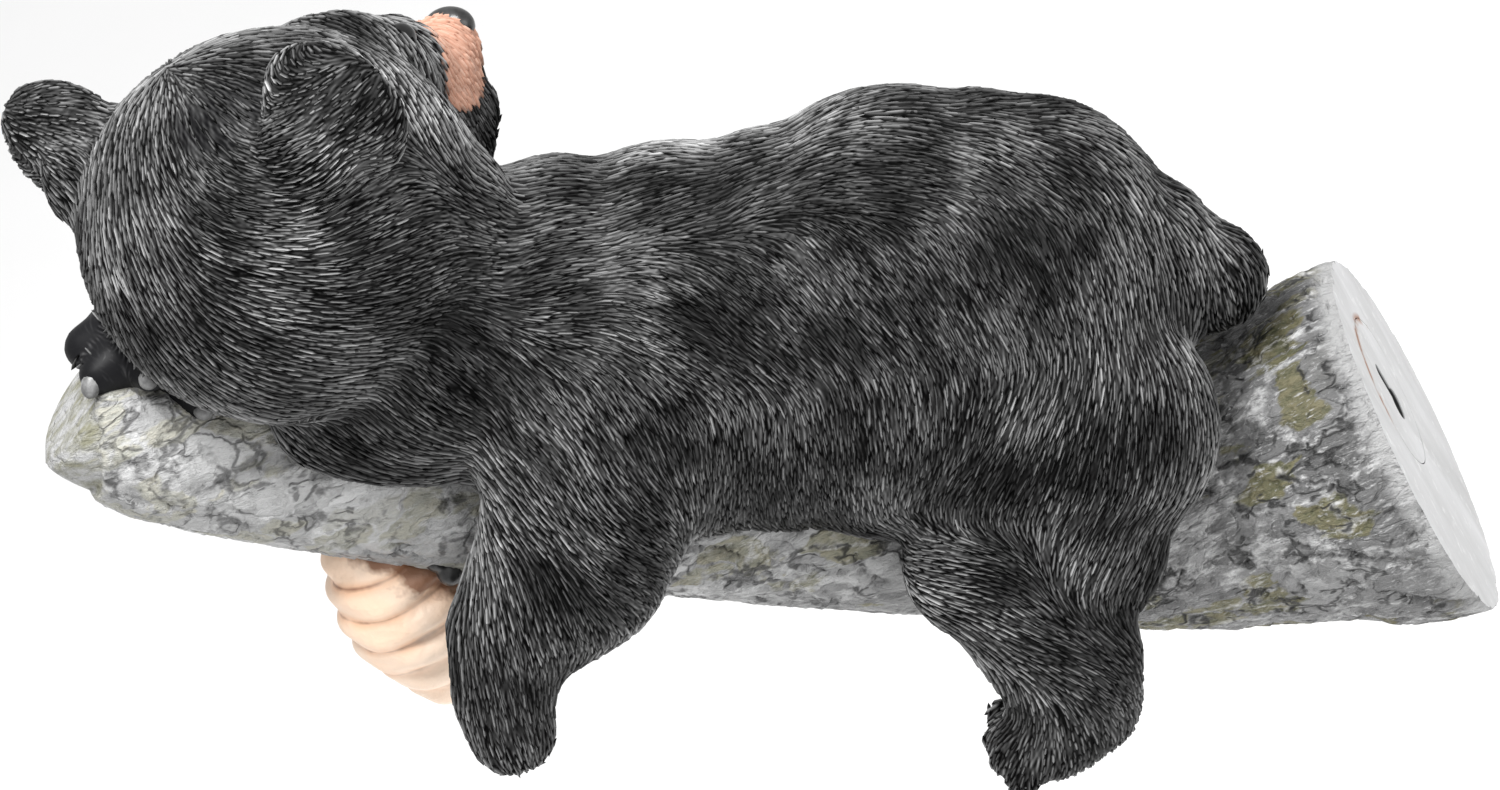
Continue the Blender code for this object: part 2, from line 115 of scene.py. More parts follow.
# Round masses of the trunk: centre, radii and the way that the fur lies
TRUNK = (
    ("loin", (92, 0, 222), (198, 200, 234), (1.0, 0.0, -0.45)),
    ("saddle", (-20, 0, 204), (165, 186, 207), (1.0, 0.0, -0.5)),
    ("rump", (226, 0, 236), (160, 195, 206), (0.8, 0.0, -0.8)),
    ("croup", (168, 0, 232), (150, 197, 219), (1.0, 0.0, -0.6)),
    ("chest", (-120, 0, 191), (190, 188, 201), (1.0, 0.0, -0.5)),
    ("withers", (-240, 0, 194), (140, 172, 185), (1.0, 0.0, -0.4)),
    ("neck", (-360, 0, 222), (148, 160, 156), (1.0, 0.0, -0.3)),
    ("nape", (-305, -42, 268), (84, 84, 82), (1.0, -0.2, -0.5)),
    ("throat", (-385, -62, 128), (140, 56, 56), (1.0, 0.0, -0.4)),
    ("rump end", (343, 0, 273), (72, 95, 91), (0.7, 0.0, -0.7)),
    ("tail", (395, 0, 264), (66, 62, 56), (0.7, 0.0, -0.7)),
)

# Masses of one side, written for the left side, which is at -Y
HAUNCH = (
    ("thigh", (255, -118, 158), (152, 98, 150), (0.1, 0.0, -1.0)),
    ("knee", (186, -146, 22), (88, 68, 84), (0.4, 0.0, -1.0)),
    ("calf", (258, -142, 48), (104, 74, 118), (0.1, 0.0, -1.0)),
)
SHOULDER = (
    ("shoulder", (-205, -120, 150), (125, 86, 130), (0.2, 0.0, -1.0)),
)

# Limbs are rows of balls from station to station: centre and radius
HIND_SHANK = ((215, -150, -10, 76), (264, -158, -80, 76), (277, -166, -126, 64))
HIND_FOOT = ((300, -172, -128, 42), (256, -180, -162, 45), (224, -182, -176, 37))
LEFT_ARM = (
    (-205, -126, 112, 108), (-228, -140, 26, 96), (-288, -160, -48, 64),
    (-296, -174, -114, 50), (-286, -180, -154, 43),
)
RIGHT_ARM = (
    (-215, 128, 110, 108), (-270, 150, 40, 88), (-380, 160, 30, 66),
    (-520, 142, 74, 56), (-620, 84, 140, 54), (-668, 20, 176, 48),
)
TOES = ((208, -140, -166, 17), (204, -164, -176, 18), (209, -188, -186, 18), (222, -208, -194, 17))
TOE_FUR = (-1.0, 0.0, -0.3)

# The head has axes of its own: forward along the muzzle, left, and up to the crown
HEAD_PLACE = (-506, 0, 328)
HEAD_FORWARD = Vector((0.511, 0.825, 0.248))
HEAD_UP = Vector((-0.579, 0.114, 0.809))
HEAD = (
    ("skull", (-8, 0, 4), (190, 215, 195), (-1.0, 0.0, -0.3)),
    ("brow", (134, 0, 40), (92, 120, 92), (-1.0, 0.0, 0.2)),
    ("bridge", (186, 0, 14), (84, 84, 70), (-1.0, 0.0, 0.2)),
    ("left cheek", (24, 108, -60), (112, 98, 102), (-0.8, 0.3, -0.7)),
    ("right cheek", (30, -104, -60), (112, 98, 102), (-0.8, -0.3, -0.7)),
)
MUZZLE = ((145, 0, -42, 88), (222, 0, -28, 60), (287, 0, -18, 40))
JAW = ((130, 0, -86, 78), (262, 0, -72, 39))
EAR_RADII = (35, 79, 80)
EARS = (((-8, 188, 153), (-28, 0, 0)), ((-36, -208, 130), (28, 0, 0)))
EAR_ROOT_RADII = (54, 54, 60)
EAR_ROOT_SHARE = 0.80
EAR_ROOT_BACK = 30
CUP_FORWARD = 40
CUP_SPREAD = 1.05
CUP_RADII = (36, 50, 50)

# Eyes, sockets and nostrils are written for the head's left side
EYE = (194, 72, 60)
EYE_RADIUS = 16
SOCKET = (202, 76, 60)
SOCKET_RADII = (24, 25, 19)
NOSE_MASSES = (((313, 0, -7), (19, 32, 22)), ((316, 0, -26), (12, 12, 14)))
NOSTRIL = (337, 14, -9)
NOSTRIL_RADII = (13, 7, 6)
PRESS_SHARE = 0.8
PRESS_LIMIT = 0.35
DIMPLE = ((-66, -96, 176), (44, 44, 30))
TAN_PATCHES = (
    ((228, -30, -12), (84, 46, 46)), ((228, 30, -12), (84, 46, 46)), ((246, 0, 4), (78, 44, 44)),
)

# The right forepaw's toes, laid across the branch's end, and its claws as bent curves
PAW_TOES = (
    ((-676, 10, 190, 34), (-704, 6, 182, 24)),
    ((-668, -12, 182, 34), (-692, -32, 174, 22)),
    ((-642, -20, 190, 32), (-644, -44, 184, 20)),
    ((-606, -18, 160, 32), (-594, -44, 150, 19)),
)
BARE_PAW_RADIUS = 52
CLAW_RADIUS = 11
CLAW_CURVES = (
    ((-706, 8, 186), (-714, 4, 180), (-718, 0, 170)),
    ((-690, -34, 178), (-700, -44, 172), (-704, -56, 162)),
    ((-644, -46, 190), (-645, -56, 186), (-645, -66, 178)),
    ((-594, -46, 154), (-591, -56, 148), (-587, -62, 140)),
)
CLAW_ROOT = 0.9
CLAW_THINNING = ((0.0, 1.0), (0.7, 0.75), (1.0, 0.2))

# Two small dark claws beside the hive
HIVE_CLAWS = ((-359, -62, -26, 13), (-345, -64, -40, 14))

# Grain and rounds of softening: first of the cub's body, then of each finished skin
Skin = namedtuple("Skin", "grain rounds")
BODY_SKIN = Skin(0.0017, 26)
FUR_SKIN = Skin(0.00167, 3)
BARK_SKIN = Skin(0.00116, 3)
SMALL_SKIN = Skin(0.0007, 3)

# Overlapping strokes of the knife, spaced out at random and fanned round the grain
Stroke = namedtuple("Stroke", "length width spacing depth seed fan flatness")
TUFT = Stroke(0.017, 0.0048, 0.0036, 0.0007, 11, 0.1, 1.0)
RIDGE = Stroke(0.040, 0.011, 0.0100, 0.0016, 21, 0.12, 1.7)
CHIP = Stroke(0.015, 0.0075, 0.0062, 0.0017, 22, 0.55, 2.6)
FLAKE = Stroke(0.0075, 0.0036, 0.0034, 0.0008, 23, 0.9, 3.0)
STROKE_HEIGHTS = (0.45, 1.0)
STROKE_LENGTHS = (0.6, 1.0)
STROKE_SLOPE = 0.15
NOTHING = 1e-9
LEAST_ROOM = 1e-6
CHIPS_ON_RIDGES = (2.5, 0.15)
BARK_LEVEL = 0.55

# End grain at the branch's tip: where it starts, how deep it lies, and its ragged edge
END_GRAIN_AT = 0.974
END_GRAIN_DROP = 0.0014
END_GRAIN_EDGE = 0.0016
END_WAVE = 0.0012
END_WAVES = 520.0
END_RAGGED = 0.0016

# A strand's rings in shares of its length, width and height: along, half width, rise, sink
STRAND_RINGS = ((-0.22, 0.42, 0.85, -0.7), (0.2, 0.40, 0.95, -0.7))
STRAND_ROOT = (-0.5, 0.0, -0.4)
STRAND_POINT = (0.5, 0.0, -0.2)
STRAND_SIZE = (0.0118, 0.0021, 0.00078)
STRAND_SPACING = 0.0021
STRAND_DENSITY = 1.6 / STRAND_SPACING ** 2
STRAND_FAN = 0.085
STRAND_SHORTEST = 0.55
STRAND_WIDTHS = (0.7, 1.15)
SHORT_FUR = 0.55
FAN_SEED = 5
WIDTH_SEED = 3
TONE_SEED = 9

# The strands are kept in pieces, one to a band of the cub from collar to tip
BANDS = ("fur_haunches", "fur_loin", "fur_shoulders", "fur_neck", "fur_head")
BANDS_END = 2.0

# How far the bare, thin, tan and short patches of fur fade out
BARE_FADE = 0.002
THIN_FADE = 0.004
TAN_FADE = 0.004
SHORT_FADE = 0.012
DIMPLE_THINNING = 0.4

# The photograph: its size, the size of a pixel at the face, and where the face's middle is
PHOTO_WIDTH = 1500
PHOTO_HEIGHT = 790
PIXEL = 0.00029
FACE_PIXEL = (1415.0, 434.0)
CAMERA_FAR = 3.0
CAMERA_RIGHT = Vector((0.888, -0.06, -0.455)).normalized()
CAMERA_LEAN = Vector((0.414, 0.534, 0.737))
CAMERA_UP = (CAMERA_LEAN - CAMERA_RIGHT * CAMERA_LEAN.dot(CAMERA_RIGHT)).normalized()
CAMERA_BACK = CAMERA_RIGHT.cross(CAMERA_UP)
SENSOR = 36.0

# How the fur lies, read off the photograph: place in its pixels, and the way in degrees,
# where 0 is to the right and 90 is down. Those of the head turn round the right ear.
HEAD_READINGS = (
    ("crown's edge", (170, 62), -28), ("crown's top", (262, 38), -8),
    ("behind the brow", (322, 62), 120), ("over the dimple", (235, 80), 20),
    ("left temple", (112, 150), 95), ("left of the skull", (120, 232), 78),
    ("low left of the skull", (152, 300), 60), ("left of the whorl", (160, 165), 75),
    ("under the whorl", (192, 192), 47), ("whorl's foot", (246, 188), 12),
    ("right of the whorl", (300, 170), -25), ("ear's back, low", (330, 130), -42),
    ("ear's back, right", (372, 112), -52), ("ear's tip", (345, 74), -45),
    ("middle of the head's back", (250, 262), 8), ("under the head's back", (262, 352), 18),
    ("low left of the nape", (190, 352), 42), ("nape", (335, 320), 2),
    ("right of the nape", (425, 290), -22), ("below the ear", (380, 190), -28),
    ("cheek", (428, 128), 72), ("ruff", (462, 196), 28), ("muzzle", (455, 62), 52),
    ("brow", (370, 32), 35), ("left ear's top", (62, 102), -12),
    ("left ear's foot", (62, 168), 35), ("right end of the nape", (395, 245), -30),
)
BODY_READINGS = (
    ("neck's foot", (470, 372), 36), ("withers", (560, 200), -8),
    ("saddle's top", (720, 196), -25), ("over the shoulder", (580, 285), -14),
    ("behind the shoulder", (650, 325), 22), ("shoulder", (520, 425), 50),
    ("shoulder's back", (625, 425), 60), ("flank's front", (755, 300), 44),
    ("flank", (860, 310), 52), ("flank's back", (1000, 300), 62),
    ("haunch's top", (1112, 292), 77), ("loin's top", (880, 150), 2),
    ("spine over the rump", (1040, 138), 28), ("rump", (1172, 222), 56),
    ("tail", (1232, 272), 66), ("belly's front", (730, 480), 93),
    ("belly", (820, 490), 82), ("belly's back", (900, 440), 85),
    ("haunch's front", (962, 490), 130), ("haunch", (1042, 432), 112),
    ("haunch's back", (1132, 450), 95), ("back of the thigh", (1142, 560), 112),
    ("hollow of the thigh", (1097, 572), 122), ("knee", (962, 575), -8),
    ("knee's foot", (1000, 618), 40), ("shank", (1042, 655), 12),
    ("shank's back", (1085, 672), 14), ("hock", (1122, 652), 50),
    ("foot", (1030, 722), 100), ("toes", (1000, 750), 120), ("heel", (1085, 745), 72),
)
ARM_READINGS = (
    ("upper arm", (500, 522), 60), ("elbow", (628, 560), 30), ("forearm", (520, 622), 75),
    ("low forearm", (486, 700), 82), ("hand", (520, 742), 70),
)
READING_REACH = 0.017
MIRRORED_WEIGHT = 0.25
MASS_WEIGHT = 0.02
FUR_BLEND = 0.006
BLEND_RANGE = (-5.0, 30.0)
FAR_AWAY = 1.0
CELL_ROOM = 1 << 12

# A noise has its grains to a metre, layers of detail, roughness and stretch. A ramp has
# its places between 0 and 1, each with a grey or a colour. A bump has a depth and a strength.
FUR_CLOUDS = (34.0, 3.0)
FUR_PATCHES = ((0.34, 0.62), (0.62, 1.1))
CHARCOAL = ((0.0, 0.001), (0.28, 0.003), (0.45, 0.030), (0.60, 0.100), (0.78, 0.21), (1.0, 0.36))
TAN = ((0.0, (0.24, 0.11, 0.075)), (0.4, (0.45, 0.25, 0.18)), (1.0, (0.60, 0.40, 0.31)))
FUR_SHINE = ((0.25, 0.02), (0.8, 0.36))
EVEN_ROUGHNESS = 0.5
STRAND_ROUGHNESS = 0.42
STRAND_TONES = ((0.0, 0.70), (0.8, 0.90), (1.0, 1.12))
SMOOTH_BLACK = (0.005, 0.005, 0.006)
KNIFE_LINES = 330.0
KNIFE_FREQUENCY = 2.0
TUFT_TONE = 0.2
SMOOTH_SHINE = 0.45
TAN_SPECKLES = (420.0, 3.0)
TAN_BLOTCHES = (90.0, 2.0)
TAN_REACH = 2.4
TAN_FIRMNESS = 1.5
STRAND_GRAIN = (900.0, 2.0)
FUR_BUMP = (0.0004, 1.0)
FINE_BUMP = (0.0001, 0.5)

# Bark: plates, chips and hollows, by how many there are to a metre, and their tones
SLAB_SCALE = 62.0
CHIP_SCALE = SLAB_SCALE * 2.6
HOLLOW_SCALE = 92.0
BARK_PUSH_SCALE = 75.0
BARK_PUSH = 0.020
BARK_STRETCH = (0.55, 1.0, 1.0)
BARK_PUSH_DETAIL = 4.0
BARK_GRAIN = (420.0, 5.0, 0.7, (0.35, 1.0, 1.0))
BARK_BRUSH = (800.0, 4.0, 0.7, (0.22, 1.0, 1.0))
END_CLOUDS = (240.0, 4.0, 0.6, (0.25, 1.0, 1.0))
CLEFT_CLOUDS = (90.0, 3.0)
TONE_LENGTH = 0.85
CHIP_SHARE = 0.8
SLAB_TONES = ((0.0, 0.12), (0.5, 0.18), (1.0, 0.29))
CHIP_TONES = ((0.3, 0.55), (0.7, 1.0))
HOLLOW_SHARE = ((0.37, 1.0), (0.41, 0.0))
HOLLOW_EDGE = ((0.02, 0.0), (0.08, 1.0))
KHAKI = ((0.36, (0.070, 0.072, 0.032)), (0.64, (0.165, 0.148, 0.080)))
KHAKI_FADE = ((0.1, 0.0), (0.8, 0.55))
TIP_FADE = ((0.0, 0.0), (1.0, 0.35))
TIP_GREY = 0.14
LIGHT_TO_TIP = 2.5
LIGHT_AT_COLLAR = 0.85
FINE_HEIGHT = 0.5
# Painted shade: the lower the carved bark, the darker its colour
BARK_PAINTED_SHADE = ((0.25, 0.10), (0.50, 0.75), (0.95, 1.0))
# Painted highlights: pale grey along the rims of the bark plates
PAINTED_RIM_HIGHLIGHT = ((0.02, 1.0), (0.09, 0.0))
PAINTED_RIM_HIGHLIGHT_BREAKS = ((0.42, 0.0), (0.60, 0.9))
PAINTED_RIM_HIGHLIGHT_GREY = 0.55
BRUSHED = ((0.56, 0.0), (0.68, 0.75))
BRUSHED_GREY = 0.50
SLAB_GAP = 1.6
CLEFT = ((0.0, 1.0), (0.04, 0.9), (0.11, 0.0))
CLEFT_BREAKS = ((0.50, 0.0), (0.56, 0.95))
CLEFT_FADE = ((0.3, 1.0), (0.9, 0.7))
# Painted shade: near-black in the clefts between plates and chips
CLEFT_PAINTED_SHADE = 0.012
END_STREAKS = ((0.35, (0.22, 0.215, 0.15)), (0.6, 0.44))
WORN_EDGE = 0.016
WORN_WOBBLE = 0.014
WORN_SHARE = ((WORN_EDGE, 1.0), (WORN_EDGE * 1.8, 0.0))
WORN_GREY = 0.36
BARK_ROUGHNESS = ((0.0, 0.38), (1.0, 0.60))
FINE_RELIEF = 0.6
SLAB_RELIEF = 0.12
CHIP_RELIEF = 0.1
BARK_BUMP = (0.0045, 1.0)

# Bare resin of the end face and the plug
BARE_ROUGHNESS = 0.6
BARE_CLOUDS = (60.0, 5.0, 0.6, (1.0, 1.0, 0.3))
BARE_STREAKS = ((0.3, 0.48), (0.7, (0.66, 0.66, 0.67)))
CHALK_SPOTS = (160.0, 5.0, 0.7)
CHALK_SHARE = ((0.56, 0.0), (0.72, 0.6))
CHALK = 0.86
# A reddish-brown line round the plug's edge, on its upper half only
REDDISH_LINE = (0.30, 0.13, 0.06)
REDDISH_LINE_REACH = 0.0022
REDDISH_LINE_CLOUDS = (120.0, 3.0)
REDDISH_LINE_FADE = ((0.2, 1.0), (1.0, 0.0))
REDDISH_LINE_BREAKS = ((0.42, 0.0), (0.54, 0.9))
REDDISH_LINE_ABOVE = ((0.0, 0.0), (0.2, 1.0))
# Painted shade: near-black deep in the keyhole and the pocket
KEYHOLE_SHADE_DEPTH = 0.0006
KEYHOLE_SHADE_FADE = ((0.15, 0.0), (1.0, 1.0))
KEYHOLE_PAINTED_SHADE = 0.006
BARE_GRAIN = (500.0, 4.0)
BARE_BUMP = (0.0003, 0.7)

# The hive's cream, its brown wash and the painted shade at its top, under the branch
HIVE_ROUGHNESS = 0.45
CREAM = ((0.16, (0.95, 0.70, 0.52)), (0.42, (0.88, 0.56, 0.37)), (0.62, (0.26, 0.11, 0.06)))
PALE_CREAM = (0.96, 0.80, 0.66)
PALE_SHARE = ((0.40, 0.0), (0.62, 0.55))
HIVE_WASH = (55.0, 3.0)
HIVE_CLOUDS = (45.0, 2.0)
HIVE_GRAIN = (380.0, 5.0)
HIVE_DENTS = (120.0, 2.0)
DENT_SHARE = 2.0
HIVE_BUMP = (0.0007, 0.7)
HIVE_PAINTED_SHADE = 0.022
SHADE_DROP = 0.7
SHADE_ASIDE = 0.6
SHADE_SLANT = 1.2
SHADE_CLOUDS = (130.0, 3.0)
SHADE_RAGGED = 0.9
PAINTED_SHADE_BROWN = (0.22, 0.085, 0.035)
PAINTED_SHADE_FADE = ((0.75, 0.9), (1.40, 0.0))

# Plain paints: name, darkest and palest tone, and roughness
CLAW_PAINT = ("grey claw paint", 0.07, 0.22, 0.4)
DARK_PAINT = ("glossy dark paint", 0.012, 0.035, 0.3)
EYE_PAINT = ("eye gloss", 0.004, 0.008, 0.08)
FLOOR_PAINT = ("pale floor", 0.93, 0.95, 0.8)
PLAIN_PLACES = (0.35, 0.65)
PLAIN_SCALE = 300.0
FLOOR_SCALE = 4.0

# Edges sharper than these angles stay sharp, in degrees
EVEN_ANGLE = 40.0
FUR_ANGLE = 80.0
BARK_ANGLE = 50.0

# What counts as the flat end face and as the pocket
FLAT_NORMAL = 0.98
FLAT_DEPTH = 0.0002
POCKET_SHARE = 0.52
POCKET_REACH = 0.03

# Floor and light; a lamp's way is right, up and back in the photograph's view
FLOOR_REACH = 6.0
FLOOR_HEIGHT = -0.55
ROOM_LIGHT = 0.68
LIT_PLACE = Vector((-0.18, 0.0, 0.1))
LAMPS = (
    ("key", (-0.55, 0.80, 0.90), 1.6, 0.8, 46.0),
    ("fill", (0.6, 0.1, 1.0), 2.2, 1.6, 19.0),
)

Mass = namedtuple("Mass", "matrix fur")


# Shapes


def object_from(name, shape, group):
    """Turn a bmesh into an object."""
    mesh = bpy.data.meshes.new(name)
    shape.to_mesh(mesh)
    shape.free()
    item = bpy.data.objects.new(name, mesh)
    group.objects.link(item)
    return item


def applied(item):
    """Make an object's modifiers, or its curve, into plain mesh."""
    graph = bpy.context.evaluated_depsgraph_get()
    mesh = bpy.data.meshes.new_from_object(item.evaluated_get(graph))
    plain = bpy.data.objects.new(item.name, mesh)
    plain.matrix_world = item.matrix_world
    for group in item.users_collection:
        group.objects.link(plain)
    bpy.data.objects.remove(item, do_unlink=True)
    return plain


def remeshed(item, skin):
    """Fuse all the bodies of an object into one skin and soften it."""
    fuse = item.modifiers.new("Fuse", "REMESH")
    fuse.mode = "VOXEL"
    fuse.voxel_size = skin.grain
    soften = item.modifiers.new("Soften", "SMOOTH")
    soften.factor = SOFTENING
    soften.iterations = skin.rounds
    return applied(item)


def branch_frame():
    """The branch's own axes: its X runs along it towards the collar."""
    return Matrix.Rotation(BRANCH_RISE, 4, "Y")


def seat_frame():
    """The cub's layout grid, one step to a unit, on the branch's axis."""
    place = Vector((-SEAT_SHARE * BRANCH_LENGTH, 0.0, -BRANCH_SAG))
    return branch_frame() @ Matrix.Translation(place) @ Matrix.Scale(STEP, 4)


def head_frame():
    """The head's axes and place on the cub's layout grid."""
    forward = HEAD_FORWARD.normalized()
    left = HEAD_UP.cross(forward).normalized()
    crown = forward.cross(left)
    axes = Matrix((forward, left, crown)).transposed().to_4x4()
    return seat_frame() @ Matrix.Translation(HEAD_PLACE) @ axes


def make_mass(axes, centre, radii, fur=(1, 0, 0), turn=(0, 0, 0)):
    """A round mass: the matrix that makes it from a ball, and the way that its fur lies."""
    angles = Euler([math.radians(angle) for angle in turn])
    matrix = axes @ Matrix.Translation(centre) @ angles.to_matrix().to_4x4()
    stretch = Matrix.Diagonal((*radii, 1.0))
    return Mass(matrix @ stretch, (axes.to_3x3() @ Vector(fur)).normalized())


def masses_from(axes, table):
    return [make_mass(axes, *row[1:]) for row in table]


def balls_from(axes, table, fur=(1, 0, 0)):
    """Balls from rows that give a centre and a radius."""
    return [make_mass(axes, ball[:3], (ball[3],) * 3, fur) for ball in table]


def limb(axes, stations, balls=LIMB_BALLS):
    """A limb as rows of balls; its fur runs from the first station to the last."""
    masses = []
    for start, end in zip(stations, stations[1:]):
        way = Vector(end[:3]) - Vector(start[:3])
        for index in range(balls):
            share = index / (balls - 1)
            centre = Vector(start[:3]).lerp(Vector(end[:3]), share)
            radius = start[3] + (end[3] - start[3]) * share
            masses.append(make_mass(axes, centre, (radius,) * 3, way))
    return masses


def mirrored(masses):
    """The same masses on the cub's other side."""
    flip = Matrix.Scale(-1.0, 4, (0.0, 1.0, 0.0))
    return [Mass(flip @ mass.matrix, flip.to_3x3() @ mass.fur) for mass in masses]


def add_ball(shape, matrix):
    """A round body of the layout, stretched and turned by its matrix."""
    made = bmesh.ops.create_icosphere(shape, subdivisions=BALL_SUBDIVISIONS, radius=1.0,
                                      matrix=matrix)
    if matrix.determinant() < 0.0:
        faces = {face for vertex in made["verts"] for face in vertex.link_faces}
        bmesh.ops.reverse_faces(shape, faces=list(faces))


def body_object(name, masses, group):
    shape = bmesh.new()
    for mass in masses:
        add_ball(shape, mass.matrix)
    return object_from(name, shape, group)


def joined(name, items, group):
    """Put several objects' meshes, in world space, into one object."""
    shape = bmesh.new()
    for item in items:
        mesh = item.data.copy()
        mesh.transform(item.matrix_world)
        shape.from_mesh(mesh)
        bpy.data.meshes.remove(mesh)
        bpy.data.objects.remove(item, do_unlink=True)
    return object_from(name, shape, group)


def smooth_path(points, pieces):
    """A smooth curve through points that carry a radius."""
    path = []
    last = len(points) - 1
    for index in range(last):
        before = points[max(index - 1, 0)]
        after = points[min(index + 2, last)]
        for piece in range(pieces):
            share = piece / pieces
            path.append(blended_station(before, points[index], points[index + 1], after, share))
    path.append(points[last])
    return path


def blended_station(before, start, end, after, share):
    """A station between two others on a cardinal curve."""
    leave = (end[0] - before[0]) / 2
    arrive = (after[0] - start[0]) / 2
    square = share * share
    cube = square * share
    centre = start[0] * (2 * cube - 3 * square + 1) + leave * (cube - 2 * square + share)
    centre += end[0] * (3 * square - 2 * cube) + arrive * (cube - square)
    return centre, start[1] + (end[1] - start[1]) * share


def tube(name, path, sides, group):
    """A closed tube along a path of centres and radii."""
    curve = bpy.data.curves.new(name, "CURVE")
    curve.dimensions = "3D"
    curve.bevel_depth = 1.0
    curve.bevel_resolution = sides
    curve.use_fill_caps = True
    spline = curve.splines.new("POLY")
    spline.points.add(len(path) - 1)
    for point, (centre, radius) in zip(spline.points, path):
        point.co = (*centre, 1.0)
        point.radius = radius
    item = bpy.data.objects.new(name, curve)
    group.objects.link(item)
    return welded(applied(item))


def welded(item):
    """Join the loose caps of a curve's mesh to its sides."""
    shape = bmesh.new()
    shape.from_mesh(item.data)
    bmesh.ops.remove_doubles(shape, verts=shape.verts, dist=WELD)
    shape.to_mesh(item.data)
    shape.free()
    return item


def branch_path():
    """Centres and radii of the branch, in world metres, from its tip past its face."""
    turn = branch_frame()
    points = []
    for along, lift_share, radius in BRANCH_STATIONS:
        place = Vector((-along * BRANCH_LENGTH, 0.0, lift_share * BRANCH_SAG))
        points.append((turn @ place, radius))
    points.append((Vector((0.0, 0.0, 0.0)), FACE_RADIUS))
    points.append((Vector((OVERRUN, 0.0, 0.0)), OVERRUN_RADIUS))
    return smooth_path(points, BRANCH_PIECES)


def points_of(mesh):
    points = np.empty(len(mesh.vertices) * 3)
    mesh.vertices.foreach_get("co", points)
    return points.reshape(-1, 3)


def normals_of(mesh):
    normals = np.empty(len(mesh.vertices) * 3)
    mesh.vertices.foreach_get("normal", normals)
    return normals.reshape(-1, 3)


def lengths_of(vectors):
    """Lengths of rows of vectors, never quite nothing, ready to divide by."""
    return np.maximum(np.linalg.norm(vectors, axis=1), NOTHING)[:, None]


def depth_below(points, matrix):
    """Rough distance of points outside an ellipsoid, negative inside."""
    inverse = np.array(matrix.inverted())
    local = points @ inverse[:3, :3].T + inverse[:3, 3]
    reach = np.linalg.norm(local, axis=1)
    size = abs(matrix.to_3x3().determinant()) ** (1.0 / 3.0)
    return (reach - 1.0) * size


def mass_ways(points, masses):
    """The way that the fur of the masses lies at each point."""
    way = np.zeros((len(points), 3))
    for mass in masses:
        distance = depth_below(points, mass.matrix)
        weight = np.exp(-np.clip(distance / FUR_BLEND, *BLEND_RANGE))
        way += weight[:, None] * np.array(mass.fur)
    return way


def closeness(points, masses, fade):
    """1 inside the masses, falling to 0 at a distance."""
    nearest = np.full(len(points), FAR_AWAY)
    for mass in masses:
        nearest = np.minimum(nearest, depth_below(points, mass.matrix))
    return np.clip(1.0 - nearest / fade, 0.0, 1.0)


# The cub


def toe_masses():
    """Furry lumps that keep a crease: the toes of both hind feet."""
    toes = balls_from(seat_frame(), TOES, TOE_FUR)
    return toes + mirrored(toes)


def paw_masses():
    """The smooth toes of the right forepaw, laid across the branch's end."""
    masses = []
    for stations in PAW_TOES:
        masses += limb(seat_frame(), stations)
    return masses


def soft_masses():
    """Masses that run into each other under the fur."""
    seat = seat_frame()
    head = head_frame()
    haunch = masses_from(seat, HAUNCH) + limb(seat, HIND_SHANK) + limb(seat, HIND_FOOT)
    shoulder = masses_from(seat, SHOULDER)
    masses = masses_from(seat, TRUNK) + haunch + mirrored(haunch)
    masses += shoulder + mirrored(shoulder)
    masses += limb(seat, LEFT_ARM) + limb(seat, RIGHT_ARM)
    masses += masses_from(head, HEAD) + limb(head, MUZZLE) + limb(head, JAW)
    for place, turn in EARS:
        masses.append(make_mass(head, place, EAR_RADII, place, turn))
        root = Vector(place) * EAR_ROOT_SHARE - Vector((EAR_ROOT_BACK, 0, 0))
        masses.append(make_mass(head, root, EAR_ROOT_RADII, place, turn))
    return masses


def both_sides(place, radii):
    """A mass of the head's left side and its twin on the right."""
    return [make_mass(head_frame(), (place[0], side * place[1], place[2]), radii)
            for side in (1, -1)]


def sinks():
    """Hollows pressed into the head: the ears' cups and the eyes' sockets."""
    pressed = []
    for place, turn in EARS:
        cup = (place[0] + CUP_FORWARD, place[1] * CUP_SPREAD, place[2] * CUP_SPREAD)
        pressed.append(make_mass(head_frame(), cup, CUP_RADII, place, turn))
    return pressed + both_sides(SOCKET, SOCKET_RADII)


def press(item, pressed):
    """Move what lies inside a hollow back to the hollow's wall."""
    mesh = item.data
    points = points_of(mesh)
    for hollow in pressed:
        inverse = np.array(hollow.matrix.inverted())
        local = points @ inverse[:3, :3].T + inverse[:3, 3]
        reach = np.linalg.norm(local, axis=1)
        inside = reach < 1.0
        local[inside] /= np.maximum(reach[inside], PRESS_LIMIT)[:, None]
        back = np.array(hollow.matrix)
        moved = local @ back[:3, :3].T + back[:3, 3]
        points[inside] += (moved[inside] - points[inside]) * PRESS_SHARE
    mesh.vertices.foreach_set("co", points.ravel())
    mesh.update()


def cub_skin(group):
    """The cub's body in one skin."""
    body = remeshed(body_object("body", soft_masses(), group), BODY_SKIN)
    details = body_object("details", toe_masses() + paw_masses(), group)
    skin = remeshed(joined("cub", [body, details], group), FUR_SKIN)
    skin.name = "cub"
    return skin


# The way that the fur lies


def on_photo_plane(place):
    """The point of the photograph's plane, through the face's middle, at a pixel."""
    across = (place[0] - FACE_PIXEL[0]) * PIXEL
    above = (FACE_PIXEL[1] - place[1]) * PIXEL
    return CAMERA_RIGHT * across + CAMERA_UP * above


def camera_place():
    return on_photo_plane((PHOTO_WIDTH / 2, PHOTO_HEIGHT / 2)) + CAMERA_BACK * CAMERA_FAR


